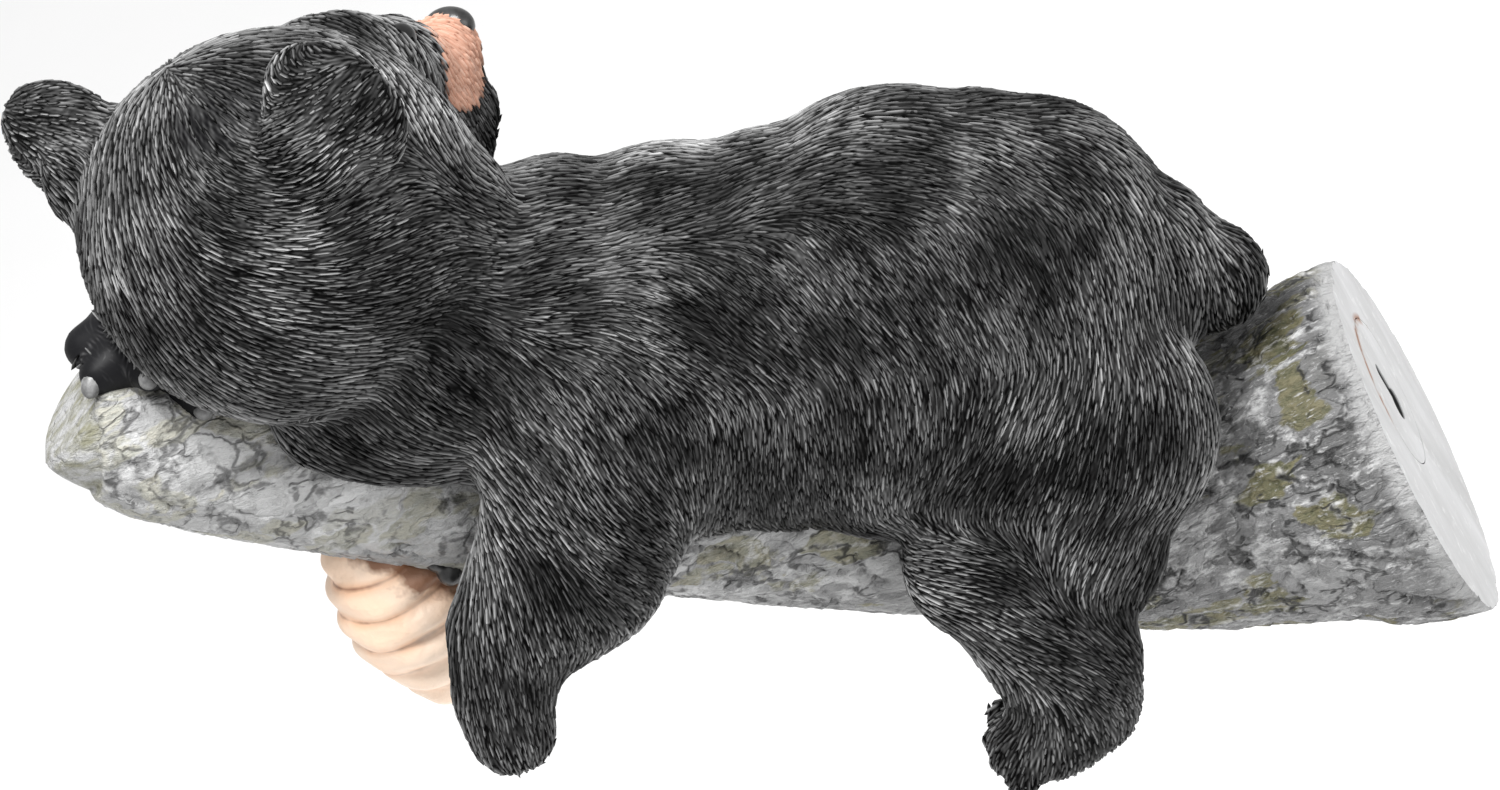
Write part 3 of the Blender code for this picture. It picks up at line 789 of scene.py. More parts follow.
def readings_on(tree, readings):
    """Where each reading meets the skin, and the way of the fur there."""
    eye = camera_place()
    found = []
    for _, place, angle in readings:
        ray = (on_photo_plane(place) - eye).normalized()
        hit, normal, _, _ = tree.ray_cast(eye, ray)
        if hit is None:
            continue
        turn = math.radians(angle)
        way = CAMERA_RIGHT * math.cos(turn) - CAMERA_UP * math.sin(turn)
        way = way - ray * (way.dot(normal) / ray.dot(normal))
        found.append((np.array(hit), np.array(way.normalized())))
    return found


def mirrored_readings(found, axes):
    """The same readings across the middle plane of a frame."""
    flip = axes @ Matrix.Scale(-1.0, 4, (0.0, 1.0, 0.0)) @ axes.inverted()
    turned = []
    for place, way in found:
        there = flip @ Vector(place)
        turned.append((np.array(there), np.array((flip.to_3x3() @ Vector(way)).normalized())))
    return turned


def fur_ways(points, normals, skin):
    """The way of the fur at each point, along the skin."""
    tree = BVHTree.FromPolygons([vertex.co for vertex in skin.vertices],
                                [face.vertices for face in skin.polygons])
    head = readings_on(tree, HEAD_READINGS)
    body = readings_on(tree, BODY_READINGS)
    arm = readings_on(tree, ARM_READINGS)
    ways = mass_ways(points, soft_masses())
    ways *= MASS_WEIGHT / lengths_of(ways)
    direct = [(reading, 1.0) for reading in head + body + arm]
    other = [(reading, MIRRORED_WEIGHT) for reading in mirrored_readings(head, head_frame())]
    other += [(reading, 1.0) for reading in mirrored_readings(body, seat_frame())]
    for (place, way), weight in direct + other:
        distance = np.linalg.norm(points - place, axis=1)
        ways += way * (weight * np.exp(-(distance / READING_REACH) ** 2))[:, None]
    return along_skin(ways, normals)


def along_skin(ways, normals):
    """Directions laid into the skin."""
    ways -= normals * np.sum(ways * normals, axis=1)[:, None]
    return ways / lengths_of(ways)


# Carving


def cell_keys(cells):
    """One number for each cell of a grid."""
    shifted = cells + CELL_ROOM // 2
    return (shifted[:, 0] * CELL_ROOM + shifted[:, 1]) * CELL_ROOM + shifted[:, 2]


def near_pairs(points, seeds, reach):
    """Numbers of the points and seeds in the same cell or in touching ones."""
    keys = cell_keys(np.floor(seeds / reach).astype(np.int64))
    order = np.argsort(keys, kind="stable")
    keys = keys[order]
    home = np.floor(points / reach).astype(np.int64)
    rows, picks = [], []
    for offset in itertools.product((-1, 0, 1), repeat=3):
        wanted = cell_keys(home + np.array(offset))
        low = np.searchsorted(keys, wanted, "left")
        counts = np.searchsorted(keys, wanted, "right") - low
        row = np.repeat(np.arange(len(points)), counts)
        starts = np.repeat(low - np.cumsum(counts) + counts, counts)
        rows.append(row)
        picks.append(order[starts + np.arange(len(row))])
    return np.concatenate(rows), np.concatenate(picks)


def scattered(points, spacing, draws):
    """Numbers of points drawn at random, one to a cell of a grid."""
    order = draws.permutation(len(points))
    keys = cell_keys(np.floor(points[order] / spacing).astype(np.int64))
    _, first = np.unique(keys, return_index=True)
    return order[first]


def spun(ways, normals, angles):
    """Directions turned round the skin's normals."""
    sideways = np.cross(normals, ways)
    return ways * np.cos(angles)[:, None] + sideways * np.sin(angles)[:, None]


def strokes(points, normals, ways, stroke):
    """How high the overlapping strokes of the knife stand at each point, from 0 to 1."""
    draws = np.random.default_rng(stroke.seed)
    chosen = scattered(points, stroke.spacing, draws)
    angles = draws.normal(0.0, stroke.fan, len(chosen))
    turned = spun(ways[chosen], normals[chosen], angles)
    heights = draws.uniform(*STROKE_HEIGHTS, len(chosen))
    lengths = stroke.length * draws.uniform(*STROKE_LENGTHS, len(chosen))
    rows, picks = near_pairs(points, points[chosen], stroke.length / 2)
    offset = points[rows] - points[chosen][picks]
    along = np.sum(offset * turned[picks], axis=1)
    share = 2.0 * along / lengths[picks]
    room = np.maximum(1.0 - share * share, LEAST_ROOM)
    square = np.sum(offset * offset, axis=1) - along * along
    across = square / (stroke.width * stroke.width / 4.0) / room
    rise = np.clip((1.0 - across) * stroke.flatness, 0.0, 1.0)
    rise = np.where(np.abs(share) < 1.0, rise, 0.0)
    rise *= heights[picks] * (1.0 - STROKE_SLOPE + STROKE_SLOPE * share)
    best = np.zeros(len(points))
    np.maximum.at(best, rows, rise)
    return best


def lift(mesh, points, normals, heights):
    """Move the vertices out along their normals."""
    mesh.vertices.foreach_set("co", (points + normals * heights[:, None]).ravel())
    mesh.update()


def store(mesh, name, values):
    """Keep a number or a direction for each vertex."""
    kind = "FLOAT_VECTOR" if values.ndim == 2 else "FLOAT"
    field = "vector" if values.ndim == 2 else "value"
    layer = mesh.attributes.new(name, kind, "POINT")
    layer.data.foreach_set(field, values.astype(np.float32).ravel())


def carve_cub(skin):
    """Tufts in the skin, and what the strands and the paint need to know there."""
    mesh = skin.data
    points = points_of(mesh)
    normals = normals_of(mesh)
    ways = fur_ways(points, normals, mesh)
    bare = closeness(points, paw_masses() + bare_masses(), BARE_FADE)
    thin = DIMPLE_THINNING * closeness(points, [make_mass(head_frame(), *DIMPLE)], THIN_FADE)
    tufts = strokes(points, normals, ways, TUFT)
    lift(mesh, points, normals, (tufts - 0.5) * TUFT.depth * (1.0 - bare))
    store(mesh, "way", ways)
    store(mesh, "across", np.cross(normals, ways))
    store(mesh, "tuft", tufts)
    store(mesh, "furry", np.maximum(1.0 - bare - thin, 0.0))
    store(mesh, "tan", closeness(points, tan_masses(), TAN_FADE))
    store(mesh, "short", closeness(points, short_masses(), SHORT_FADE))


def bare_masses():
    """Where the skin is smooth: cups, sockets and the folded paw."""
    paw = (*RIGHT_ARM[-1][:3], BARE_PAW_RADIUS)
    return sinks() + balls_from(seat_frame(), [paw])


def tan_masses():
    """Where the muzzle is painted tan."""
    return [make_mass(head_frame(), *patch) for patch in TAN_PATCHES]


def short_masses():
    """Where the strands are short: muzzle, ears and hind feet."""
    head = head_frame()
    foot = limb(seat_frame(), HIND_FOOT)
    ears = [make_mass(head, place, EAR_RADII, place, turn) for place, turn in EARS]
    return limb(head, MUZZLE) + foot + mirrored(foot) + ears


# Nodes


def give(socket, value):
    """Link a socket to a source, or set its value."""
    source = getattr(value, "socket", value)
    if isinstance(source, bpy.types.NodeSocket):
        socket.id_data.links.new(source, socket)
    elif socket.type == "RGBA":
        socket.default_value = full_color(source)
    else:
        socket.default_value = source


def add(tree, kind, inputs=None, output=None, **settings):
    """Add a node, link or set its inputs, and return the output asked for, or its first."""
    item = tree.nodes.new(kind)
    for name, value in settings.items():
        setattr(item, name, value)
    for name, value in (inputs or {}).items():
        give(item.inputs[name], value)
    live = [socket for socket in item.outputs if socket.enabled]
    return item.outputs[output] if output else live[0]


# Strands, made by Geometry Nodes over the skin


def strand_shape():
    """One strand: a low boat shape that starts thin, swells and ends in a point."""
    shape = bmesh.new()
    rings = []
    for along, half, rise, sink in STRAND_RINGS:
        corners = ((along, -half, sink), (along, 0.0, rise), (along, half, sink))
        rings.append([shape.verts.new(corner) for corner in corners])
    tail = shape.verts.new(STRAND_ROOT)
    tip = shape.verts.new(STRAND_POINT)
    for ring, next_ring in zip(rings, rings[1:]):
        for side in range(3):
            other = (side + 1) % 3
            shape.faces.new((ring[side], ring[other], next_ring[other], next_ring[side]))
    for side in range(3):
        other = (side + 1) % 3
        shape.faces.new((tail, rings[0][other], rings[0][side]))
        shape.faces.new((tip, rings[-1][side], rings[-1][other]))
    bmesh.ops.recalc_face_normals(shape, faces=shape.faces)
    bmesh.ops.triangulate(shape, faces=shape.faces)
    mesh = bpy.data.meshes.new("strand")
    shape.to_mesh(mesh)
    shape.free()
    store(mesh, "ridge", np.clip(points_of(mesh)[:, 2], 0.0, 1.0))
    mesh.transform(Matrix.Diagonal((*STRAND_SIZE, 1.0)))
    return mesh


def strand_tree(strand, paint):
    """A node group that lays strands on a skin, each along the way of the fur."""
    tree = bpy.data.node_groups.new("strands on a skin", "GeometryNodeTree")
    tree.interface.new_socket("Skin", in_out="INPUT", socket_type="NodeSocketGeometry")
    for name in ("Spacing", "Fan", "Shortest", "Low", "High"):
        tree.interface.new_socket(name, in_out="INPUT", socket_type="NodeSocketFloat")
    tree.interface.new_socket("Seed", in_out="INPUT", socket_type="NodeSocketInt")
    tree.interface.new_socket("Strands", in_out="OUTPUT", socket_type="NodeSocketGeometry")
    given = tree.nodes.new("NodeGroupInput").outputs
    inputs = {"Mesh": given["Skin"], "Selection": strand_band(tree, given),
              "Distance Min": given["Spacing"], "Density Max": STRAND_DENSITY,
              "Density Factor": skin_value(tree, "furry"), "Seed": given["Seed"]}
    points = add(tree, "GeometryNodeDistributePointsOnFaces", inputs, "Points",
                 distribute_method="POISSON")
    normal = points.node.outputs["Normal"]
    shape = add(tree, "GeometryNodeObjectInfo", {"Object": strand}, "Geometry")
    inputs = {"Points": points, "Instance": shape, "Rotation": strand_turn(tree, given, normal),
              "Scale": strand_size(tree, given)}
    laid = toned(tree, add(tree, "GeometryNodeInstanceOnPoints", inputs))
    real = add(tree, "GeometryNodeRealizeInstances", {0: laid})
    smooth = add(tree, "GeometryNodeSetShadeSmooth", {0: real})
    coated = add(tree, "GeometryNodeSetMaterial", {"Geometry": smooth, "Material": paint})
    give(tree.nodes.new("NodeGroupOutput").inputs[0], coated)
    return tree


def skin_value(tree, name, kind="FLOAT"):
    """A value kept on the skin."""
    return add(tree, "GeometryNodeInputNamedAttribute", {"Name": name}, data_type=kind)


def strand_band(tree, given):
    """Whether a point of the skin is in the band that is asked for."""
    band = skin_value(tree, "band")
    above = add(tree, "FunctionNodeCompare", {"A": band, "B": given["Low"]},
                data_type="FLOAT", operation="GREATER_EQUAL")
    below = add(tree, "FunctionNodeCompare", {"A": band, "B": given["High"]},
                data_type="FLOAT", operation="LESS_THAN")
    return add(tree, "FunctionNodeBooleanMath", {0: above, 1: below}, operation="AND")


def strand_turn(tree, given, normal):
    """Along the fur, with a small fan from strand to strand."""
    inputs = {"Min": (-1.0,) * 3, "Max": (1.0,) * 3, "Seed": FAN_SEED}
    fan = add(tree, "FunctionNodeRandomValue", inputs, data_type="FLOAT_VECTOR")
    small = add(tree, "ShaderNodeVectorMath", {0: fan, "Scale": given["Fan"]}, operation="SCALE")
    inputs = {0: skin_value(tree, "way", "FLOAT_VECTOR"), 1: small}
    way = add(tree, "ShaderNodeVectorMath", inputs, operation="ADD")
    return add(tree, "FunctionNodeAxesToRotation", {0: normal, 1: way},
               primary_axis="Z", secondary_axis="X")


def strand_size(tree, given):
    """Random length and width; shorter where the fur is short."""
    length = add(tree, "FunctionNodeRandomValue", {"Min": given["Shortest"], "Max": 1.0},
                 data_type="FLOAT")
    inputs = {"Min": STRAND_WIDTHS[0], "Max": STRAND_WIDTHS[1], "Seed": WIDTH_SEED}
    width = add(tree, "FunctionNodeRandomValue", inputs, data_type="FLOAT")
    inputs = {"Value": skin_value(tree, "short"), "To Min": 1.0, "To Max": SHORT_FUR}
    shorten = add(tree, "ShaderNodeMapRange", inputs)
    product = add(tree, "ShaderNodeMath", {0: length, 1: shorten}, operation="MULTIPLY")
    return add(tree, "ShaderNodeCombineXYZ", {"X": product, "Y": width, "Z": width})


def toned(tree, instances):
    """Give each strand a random tone for its paint."""
    draw = add(tree, "FunctionNodeRandomValue", {"Seed": TONE_SEED}, data_type="FLOAT")
    inputs = {"Geometry": instances, "Name": "tone", "Value": draw}
    return add(tree, "GeometryNodeStoreNamedAttribute", inputs, data_type="FLOAT",
               domain="INSTANCE")


def with_values(modifier, tree, values):
    """Set a Geometry Nodes modifier's inputs by their sockets' identifiers."""
    for socket in tree.interface.items_tree:
        if socket.item_type == "SOCKET" and socket.in_out == "INPUT" and socket.name in values:
            modifier[socket.identifier] = values[socket.name]


def strands_on(skin, tree, name, band, seed, group):
    """The strands of one band of the cub as plain mesh."""
    modifier = skin.modifiers.new("Strands", "NODES")
    modifier.node_group = tree
    values = {"Spacing": STRAND_SPACING, "Fan": STRAND_FAN, "Shortest": STRAND_SHORTEST}
    values.update({"Low": band[0], "High": band[1], "Seed": seed})
    with_values(modifier, tree, values)
    graph = bpy.context.evaluated_depsgraph_get()
    mesh = bpy.data.meshes.new_from_object(skin.evaluated_get(graph), depsgraph=graph)
    skin.modifiers.remove(modifier)
    mesh.name = name
    item = bpy.data.objects.new(name, mesh)
    group.objects.link(item)
    return item


# The branch, the hive and the small parts


def along_branch(points):
    """Distance from the end face, along the branch's axis."""
    return points @ np.array(branch_frame() @ Vector((-1.0, 0.0, 0.0)))


def bark_ways(points, normals):
    """Along the branch, on its skin."""
    ways = np.tile(np.array(branch_frame() @ Vector((1.0, 0.0, 0.0))), (len(points), 1))
    return along_skin(ways, normals)


def carve_bark(bark):
    """Ridges, chips and flakes of bark, smoother on the tip's end grain."""
    mesh = bark.data
    points = points_of(mesh)
    normals = normals_of(mesh)
    ways = bark_ways(points, normals)
    ridges, chips, flakes = (strokes(points, normals, ways, stroke)
                             for stroke in (RIDGE, CHIP, FLAKE))
    chips *= np.clip(ridges * CHIPS_ON_RIDGES[0], CHIPS_ON_RIDGES[1], 1.0)
    tallest = RIDGE.depth + CHIP.depth
    height = ridges * RIDGE.depth + chips * CHIP.depth + flakes * FLAKE.depth
    height -= tallest * BARK_LEVEL
    wobble = END_WAVE * np.sin(points[:, 1] * END_WAVES) + END_RAGGED * (flakes - 0.5)
    past = along_branch(points) + wobble - END_GRAIN_AT * BRANCH_LENGTH
    end_grain = np.clip(past / END_GRAIN_EDGE, 0.0, 1.0)
    height = height * (1.0 - end_grain) - end_grain * END_GRAIN_DROP
    lift(mesh, points, normals, height)
    store(mesh, "lift", np.clip(height / tallest + 0.5, 0.0, 1.0))
    store(mesh, "end_grain", end_grain)


def disc(name, radius, front, depth, group, sides=ROUND_SIDES):
    """A round body across the face: from front towards -X by its depth."""
    shape = bmesh.new()
    across = Matrix.Translation((front - depth / 2, 0.0, PLUG_RISE))
    turn = Matrix.Rotation(math.pi / 2, 4, "Y")
    bmesh.ops.create_cone(shape, cap_ends=True, segments=sides, radius1=radius,
                          radius2=radius, depth=depth, matrix=across @ turn)
    return object_from(name, shape, group)


def cut(item, cutter):
    """Take a cutter away from an object and drop the cutter."""
    take = item.modifiers.new("Cut", "BOOLEAN")
    take.operation = "DIFFERENCE"
    take.solver = "MANIFOLD"
    take.object = cutter
    bpy.context.view_layer.update()
    left = applied(item)
    bpy.data.objects.remove(cutter, do_unlink=True)
    return left


def beyond_face(group):
    """All that lies beyond the plane of the end face."""
    shape = bmesh.new()
    middle = Matrix.Translation((CUTTER_SIZE / 2, 0.0, 0.0))
    bmesh.ops.create_cube(shape, size=CUTTER_SIZE, matrix=middle)
    return object_from("beyond the face", shape, group)


def make_branch(group):
    """The branch and its collar, carved, and cut to the flat end face with its pocket."""
    bark = remeshed(tube("branch", branch_path(), TUBE_SIDES, group), BARK_SKIN)
    carve_bark(bark)
    pocket = PLUG_THICKNESS + PLUG_CLEARANCE
    radius = PLUG_DIAMETER / 2 + PLUG_CLEARANCE
    bark = cut(bark, beyond_face(group))
    bark = cut(bark, disc("pocket", radius, PLUG_THICKNESS, PLUG_THICKNESS + pocket, group,
                          POCKET_SIDES))
    bark = cut(bark, disc("screw room", SCREW_ROOM_DIAMETER / 2, 0.0,
                          pocket + SCREW_ROOM_DEPTH, group))
    bark.name = "branch_bark"
    return bark


def hive_top():
    """Where the hive's axis meets the underside of the branch."""
    path = branch_path()
    along = branch_frame() @ Vector((-1.0, 0.0, 0.0))
    misses = [abs(centre.dot(along) - HIVE_SHARE * BRANCH_LENGTH) for centre, _ in path]
    centre, radius = path[misses.index(min(misses))]
    return centre + Vector((0.0, 0.0, -radius / math.cos(BRANCH_RISE) + HIVE_SINK))


def hive_profile():
    """Half outline of the hive from its top to its foot: radius and drop."""
    outline = []
    rows = HIVE_COILS * HIVE_COIL_ROWS
    for row in range(rows + 1):
        share = row / rows
        egg = math.sin(math.pi * (HIVE_SHOULDER + (1.0 - HIVE_SHOULDER) * share))
        coil = abs(math.sin(math.pi * HIVE_COILS * share))
        radius = HIVE_RADIUS * max(egg, 0.0) ** HIVE_FULLNESS
        radius -= HIVE_COIL_DEPTH * (1.0 - coil) * min(1.0, (1.0 - share) / HIVE_FOOT_SHARE)
        outline.append((max(radius, 0.0), -HIVE_HEIGHT * share))
    return outline


def hive_object(group):
    """The beehive, a turned shape with a bulge for each coil."""
    mesh = bpy.data.meshes.new("hive")
    outline = [(0.0, HIVE_SINK)] + hive_profile() + [(0.0, -HIVE_HEIGHT)]
    rows = len(outline)
    mesh.from_pydata([(radius, 0.0, drop) for radius, drop in outline],
                     [(row, row + 1) for row in range(rows - 1)], [])
    item = bpy.data.objects.new("hive", mesh)
    item.location = hive_top()
    group.objects.link(item)
    turn = item.modifiers.new("Turn", "SCREW")
    turn.steps = ROUND_SIDES
    turn.render_steps = ROUND_SIDES
    turn.use_merge_vertices = True
    turn.merge_threshold = WELD
    bpy.context.view_layer.update()
    return applied(item)


def make_hive(group):
    """The hive's coils, dented by hand and wound a little unevenly."""
    hive = hive_object(group)
    hive.data.transform(hive.matrix_world)
    hive.matrix_world = Matrix()
    dense = hive.modifiers.new("Finer", "SUBSURF")
    dense.levels = 1
    dense.render_levels = 1
    hive = applied(hive)
    mesh = hive.data
    points = points_of(mesh)
    normals = normals_of(mesh)
    top = hive_top()
    drop = (points[:, 2] - top[2]) / HIVE_HEIGHT
    turn = np.arctan2(points[:, 1] - top[1], points[:, 0] - top[0])
    lumps = sum(np.sin(turn * around + drop * down + start) for around, down, start in HIVE_WAVES)
    lift(mesh, points, normals, lumps * HIVE_LUMPS)
    cleft = 1.0 - np.abs(np.sin(math.pi * HIVE_COILS * drop))
    store(mesh, "cleft", np.clip(cleft, 0.0, 1.0))
    hive.name = "beehive"
    return hive


def bent_cone(start, bend, tip, radius, group):
    """A claw: a tube that bends and thins to a point."""
    stations = [(start, radius * CLAW_ROOT)]
    stations += [(bend.lerp(tip, share), radius * size) for share, size in CLAW_THINNING]
    return tube("claw", smooth_path(stations, CLAW_PIECES), CLAW_SIDES, group)


def make_claws(group):
    """The claws of the folded forepaw."""
    seat = seat_frame()
    items = [bent_cone(*(seat @ Vector(place) for place in curve), CLAW_RADIUS * STEP, group)
             for curve in CLAW_CURVES]
    return joined("claws", items, group)


def make_nose(group):
    """The nose pad with its two nostrils."""
    masses = [make_mass(head_frame(), *mass) for mass in NOSE_MASSES]
    nose = remeshed(body_object("nose", masses, group), SMALL_SKIN)
    press(nose, both_sides(NOSTRIL, NOSTRIL_RADII))
    nose.name = "nose"
    return nose


def make_eyes(group):
    """Two small dark eyes in their sockets."""
    return body_object("eyes", both_sides(EYE, (EYE_RADIUS,) * 3), group)


def make_hive_claws(group):
    """The small dark claws beside the hive."""
    balls = balls_from(seat_frame(), HIVE_CLAWS)
    return remeshed(body_object("hive_claws", balls, group), SMALL_SKIN)


# Paints


class Field:
    """A number or colour in a node tree, with plain arithmetic."""

    def __init__(self, socket):
        self.socket = socket

    def made(self, kind, inputs, **settings):
        return Field(add(self.socket.id_data, kind, inputs, **settings))

    def math(self, operation, other=0.0):
        return self.made("ShaderNodeMath", {0: self, 1: other}, operation=operation)

    def __add__(self, other):
        return self.math("ADD", other)

    def __sub__(self, other):
        return self.math("SUBTRACT", other)

    def __rsub__(self, other):
        return self.made("ShaderNodeMath", {0: other, 1: self}, operation="SUBTRACT")

    def __mul__(self, other):
        return self.math("MULTIPLY", other)

    def ramp(self, stops):
        """Colours at places between 0 and 1."""
        color = self.made("ShaderNodeValToRGB", {"Fac": self})
        elements = color.socket.node.color_ramp.elements
        while len(elements) < len(stops):
            elements.new(1.0)
        for element, (place, tone) in zip(elements, stops):
            element.position = place
            element.color = full_color(tone)
        return color

    def under(self, share, other, kind="MIX"):
        """This colour with another laid over it by a share."""
        inputs = {"Factor": share, "A": self, "B": other}
        return self.made("ShaderNodeMix", inputs, data_type="RGBA", blend_type=kind)


class Paint:
    """A material, and the sources that its looks are worked out from."""

    def __init__(self, name, roughness=EVEN_ROUGHNESS):
        self.material = bpy.data.materials.new(name)
        self.material.use_nodes = True
        self.tree = self.material.node_tree
        self.set("Roughness", roughness)

    def set(self, name, value):
        give(self.tree.nodes["Principled BSDF"].inputs[name], value)

    def made(self, kind, inputs=None, output=None, **settings):
        return Field(add(self.tree, kind, inputs, output, **settings))

    def place(self, stretch=None):
        """The piece's own coordinates, or those along the branch, drawn out."""
        place = self.made("ShaderNodeTexCoord", None, "Object")
        if stretch is None:
            return place
        inputs = {"Vector": place, "Rotation": (0.0, -BRANCH_RISE, 0.0), "Scale": stretch}
        return self.made("ShaderNodeMapping", inputs)

    def axis(self, name):
        """One of the piece's own coordinates."""
        return self.made("ShaderNodeSeparateXYZ", {0: self.place()}, name)

    def noise(self, scale, detail=4.0, roughness=0.6, stretch=None):
        """Noise on the piece's own coordinates, from 0 to 1."""
        inputs = {"Vector": self.place(stretch), "Scale": scale, "Detail": detail,
                  "Roughness": roughness}
        return self.made("ShaderNodeTexNoise", inputs)

    def stored(self, name, output="Fac"):
        """A value kept on the mesh."""
        return self.made("ShaderNodeAttribute", None, output, attribute_name=name)

    def bump(self, height, distance, strength=1.0):
        """Fine relief under the light."""
        inputs = {"Height": height, "Distance": distance, "Strength": strength}
        self.set("Normal", self.made("ShaderNodeBump", inputs))

    def shine(self, relief):
        """What stands up shines, and the cuts between stay dull and dark."""
        self.set("Specular IOR Level", relief.ramp(FUR_SHINE))


def full_color(tone):
    """A grey or a colour with its opacity."""
    return (*tone, 1.0) if isinstance(tone, tuple) else (tone, tone, tone, 1.0)


def knife_lines(paint):
    """Fine lines along the fur."""
    inputs = {"Vector": paint.place(), "Orientation": paint.stored("across", "Vector"),
              "Scale": KNIFE_LINES, "Frequency": KNIFE_FREQUENCY, "Anisotropy": 1.0}
    return paint.made("ShaderNodeTexGabor", inputs, "Value", gabor_type="3D")


def fur_colors(paint, relief):
    """Charcoal in the cuts, brushed grey on what stands up, tan on the muzzle."""
    brushed = relief * paint.noise(*FUR_CLOUDS).ramp(FUR_PATCHES)
    speckle = paint.noise(*TAN_SPECKLES) + paint.noise(*TAN_BLOTCHES)
    edge = (paint.stored("tan") * TAN_REACH - speckle) * TAN_FIRMNESS
    share = paint.made("ShaderNodeClamp", {"Value": edge})
    return brushed.ramp(CHARCOAL).under(share, relief.ramp(TAN))


def skin_paint():
    """Charcoal fur paint on the skin under the strands."""
    paint = Paint("charcoal fur paint")
    lines = knife_lines(paint)
    relief = lines * (paint.stored("tuft") + TUFT_TONE)
    smooth = 1.0 - paint.stored("furry")
    paint.set("Base Color", fur_colors(paint, relief).under(smooth, SMOOTH_BLACK))
    paint.shine(relief.math("MAXIMUM", smooth * SMOOTH_SHINE))
    paint.bump(lines * paint.stored("furry"), *FUR_BUMP)
    return paint.material


def strand_paint():
    """Charcoal strands with their ridges dry-brushed grey."""
    paint = Paint("dry-brushed strands", STRAND_ROUGHNESS)
    relief = paint.stored("ridge") * paint.stored("tone").ramp(STRAND_TONES)
    paint.set("Base Color", fur_colors(paint, relief))
    paint.shine(relief)
    paint.bump(paint.noise(*STRAND_GRAIN), *FINE_BUMP)
    return paint.material


def bark_places(paint):
    """The bark's own coordinates, drawn out along the branch and pushed about."""
    place = paint.place(BARK_STRETCH)
    push = paint.made("ShaderNodeTexNoise", {"Vector": place, "Scale": BARK_PUSH_SCALE,
                                             "Detail": BARK_PUSH_DETAIL}, "Color")
    small = paint.made("ShaderNodeVectorMath", {0: push, "Scale": BARK_PUSH}, operation="SCALE")
    return paint.made("ShaderNodeVectorMath", {0: place, 1: small}, operation="ADD")


def plates(paint, where, scale):
    """Irregular plates: the distance to their edges, and a tone for each."""
    inputs = {"Vector": where, "Scale": scale}
    edge = paint.made("ShaderNodeTexVoronoi", inputs, "Distance", feature="DISTANCE_TO_EDGE")
    return edge, paint.made("ShaderNodeTexVoronoi", inputs, "Color", feature="F1")


def along_tone(paint):
    """0 at the collar, 1 at the tip."""
    return paint.axis("X") * (-1.0 / (BRANCH_LENGTH * TONE_LENGTH))


def bark_body(paint, slab_tone, chip_tone, hollow, fine, along):
    """Grey plates and chips with olive and ochre hollows, paler towards the tip."""
    body = slab_tone.ramp(SLAB_TONES)
    body = body.under(CHIP_SHARE, body.under(1.0, chip_tone.ramp(CHIP_TONES), "MULTIPLY"))
    khaki = fine.ramp(KHAKI).under(along.ramp(KHAKI_FADE), TIP_GREY)
    body = body.under(hollow, khaki).under(along.ramp(TIP_FADE), TIP_GREY)
    inputs = {0: body, "Scale": along * LIGHT_TO_TIP + LIGHT_AT_COLLAR}
    return paint.made("ShaderNodeVectorMath", inputs, operation="SCALE")


def bark_paint():
    """Grey bark plates, olive and ochre between them, with near-black painted shade in the clefts,
    painted shade in the low parts and pale painted highlights on the rims.
    """
    paint = Paint("weathered bark paint")
    where = bark_places(paint)
    along = along_tone(paint)
    fine = paint.noise(*BARK_GRAIN)
    brush = paint.noise(*BARK_BRUSH)
    edge, tone = plates(paint, where, SLAB_SCALE)
    chip_edge, chip_tone = plates(paint, where, CHIP_SCALE)
    hollow_edge, hollow_tone = plates(paint, where, HOLLOW_SCALE)
    hollow = hollow_tone.ramp(HOLLOW_SHARE) * hollow_edge.ramp(HOLLOW_EDGE)
    body = bark_body(paint, tone, chip_tone, hollow, fine, along)
    height = paint.stored("lift") + fine * FINE_HEIGHT
    # painted shade: the lower the carved bark, the darker its colour
    body = body.under(1.0, height.ramp(BARK_PAINTED_SHADE), "MULTIPLY")
    # painted highlight: pale grey along the rims of the bark plates, broken up by noise
    body = body.under(edge.ramp(PAINTED_RIM_HIGHLIGHT) * fine.ramp(PAINTED_RIM_HIGHLIGHT_BREAKS), PAINTED_RIM_HIGHLIGHT_GREY)
    body = body.under(brush.ramp(BRUSHED) * height, BRUSHED_GREY)
    # painted shade: near-black in the clefts between plates and chips, a little weaker towards the
    # tip
    gap = chip_edge.math("MINIMUM", edge * SLAB_GAP)
    cleft = gap.ramp(CLEFT) * paint.noise(*CLEFT_CLOUDS).ramp(CLEFT_BREAKS)
    body = body.under(cleft * along.ramp(CLEFT_FADE), CLEFT_PAINTED_SHADE)
    body = body.under(paint.stored("end_grain"), paint.noise(*END_CLOUDS).ramp(END_STREAKS))
    worn = along + brush * WORN_WOBBLE
    paint.set("Base Color", body.under(worn.ramp(WORN_SHARE), WORN_GREY))
    paint.set("Roughness", hollow.ramp(BARK_ROUGHNESS))
    relief = fine * FINE_RELIEF + edge.math("MINIMUM", SLAB_RELIEF)
    paint.bump(relief + chip_edge.math("MINIMUM", CHIP_RELIEF), *BARK_BUMP)
    return paint.material


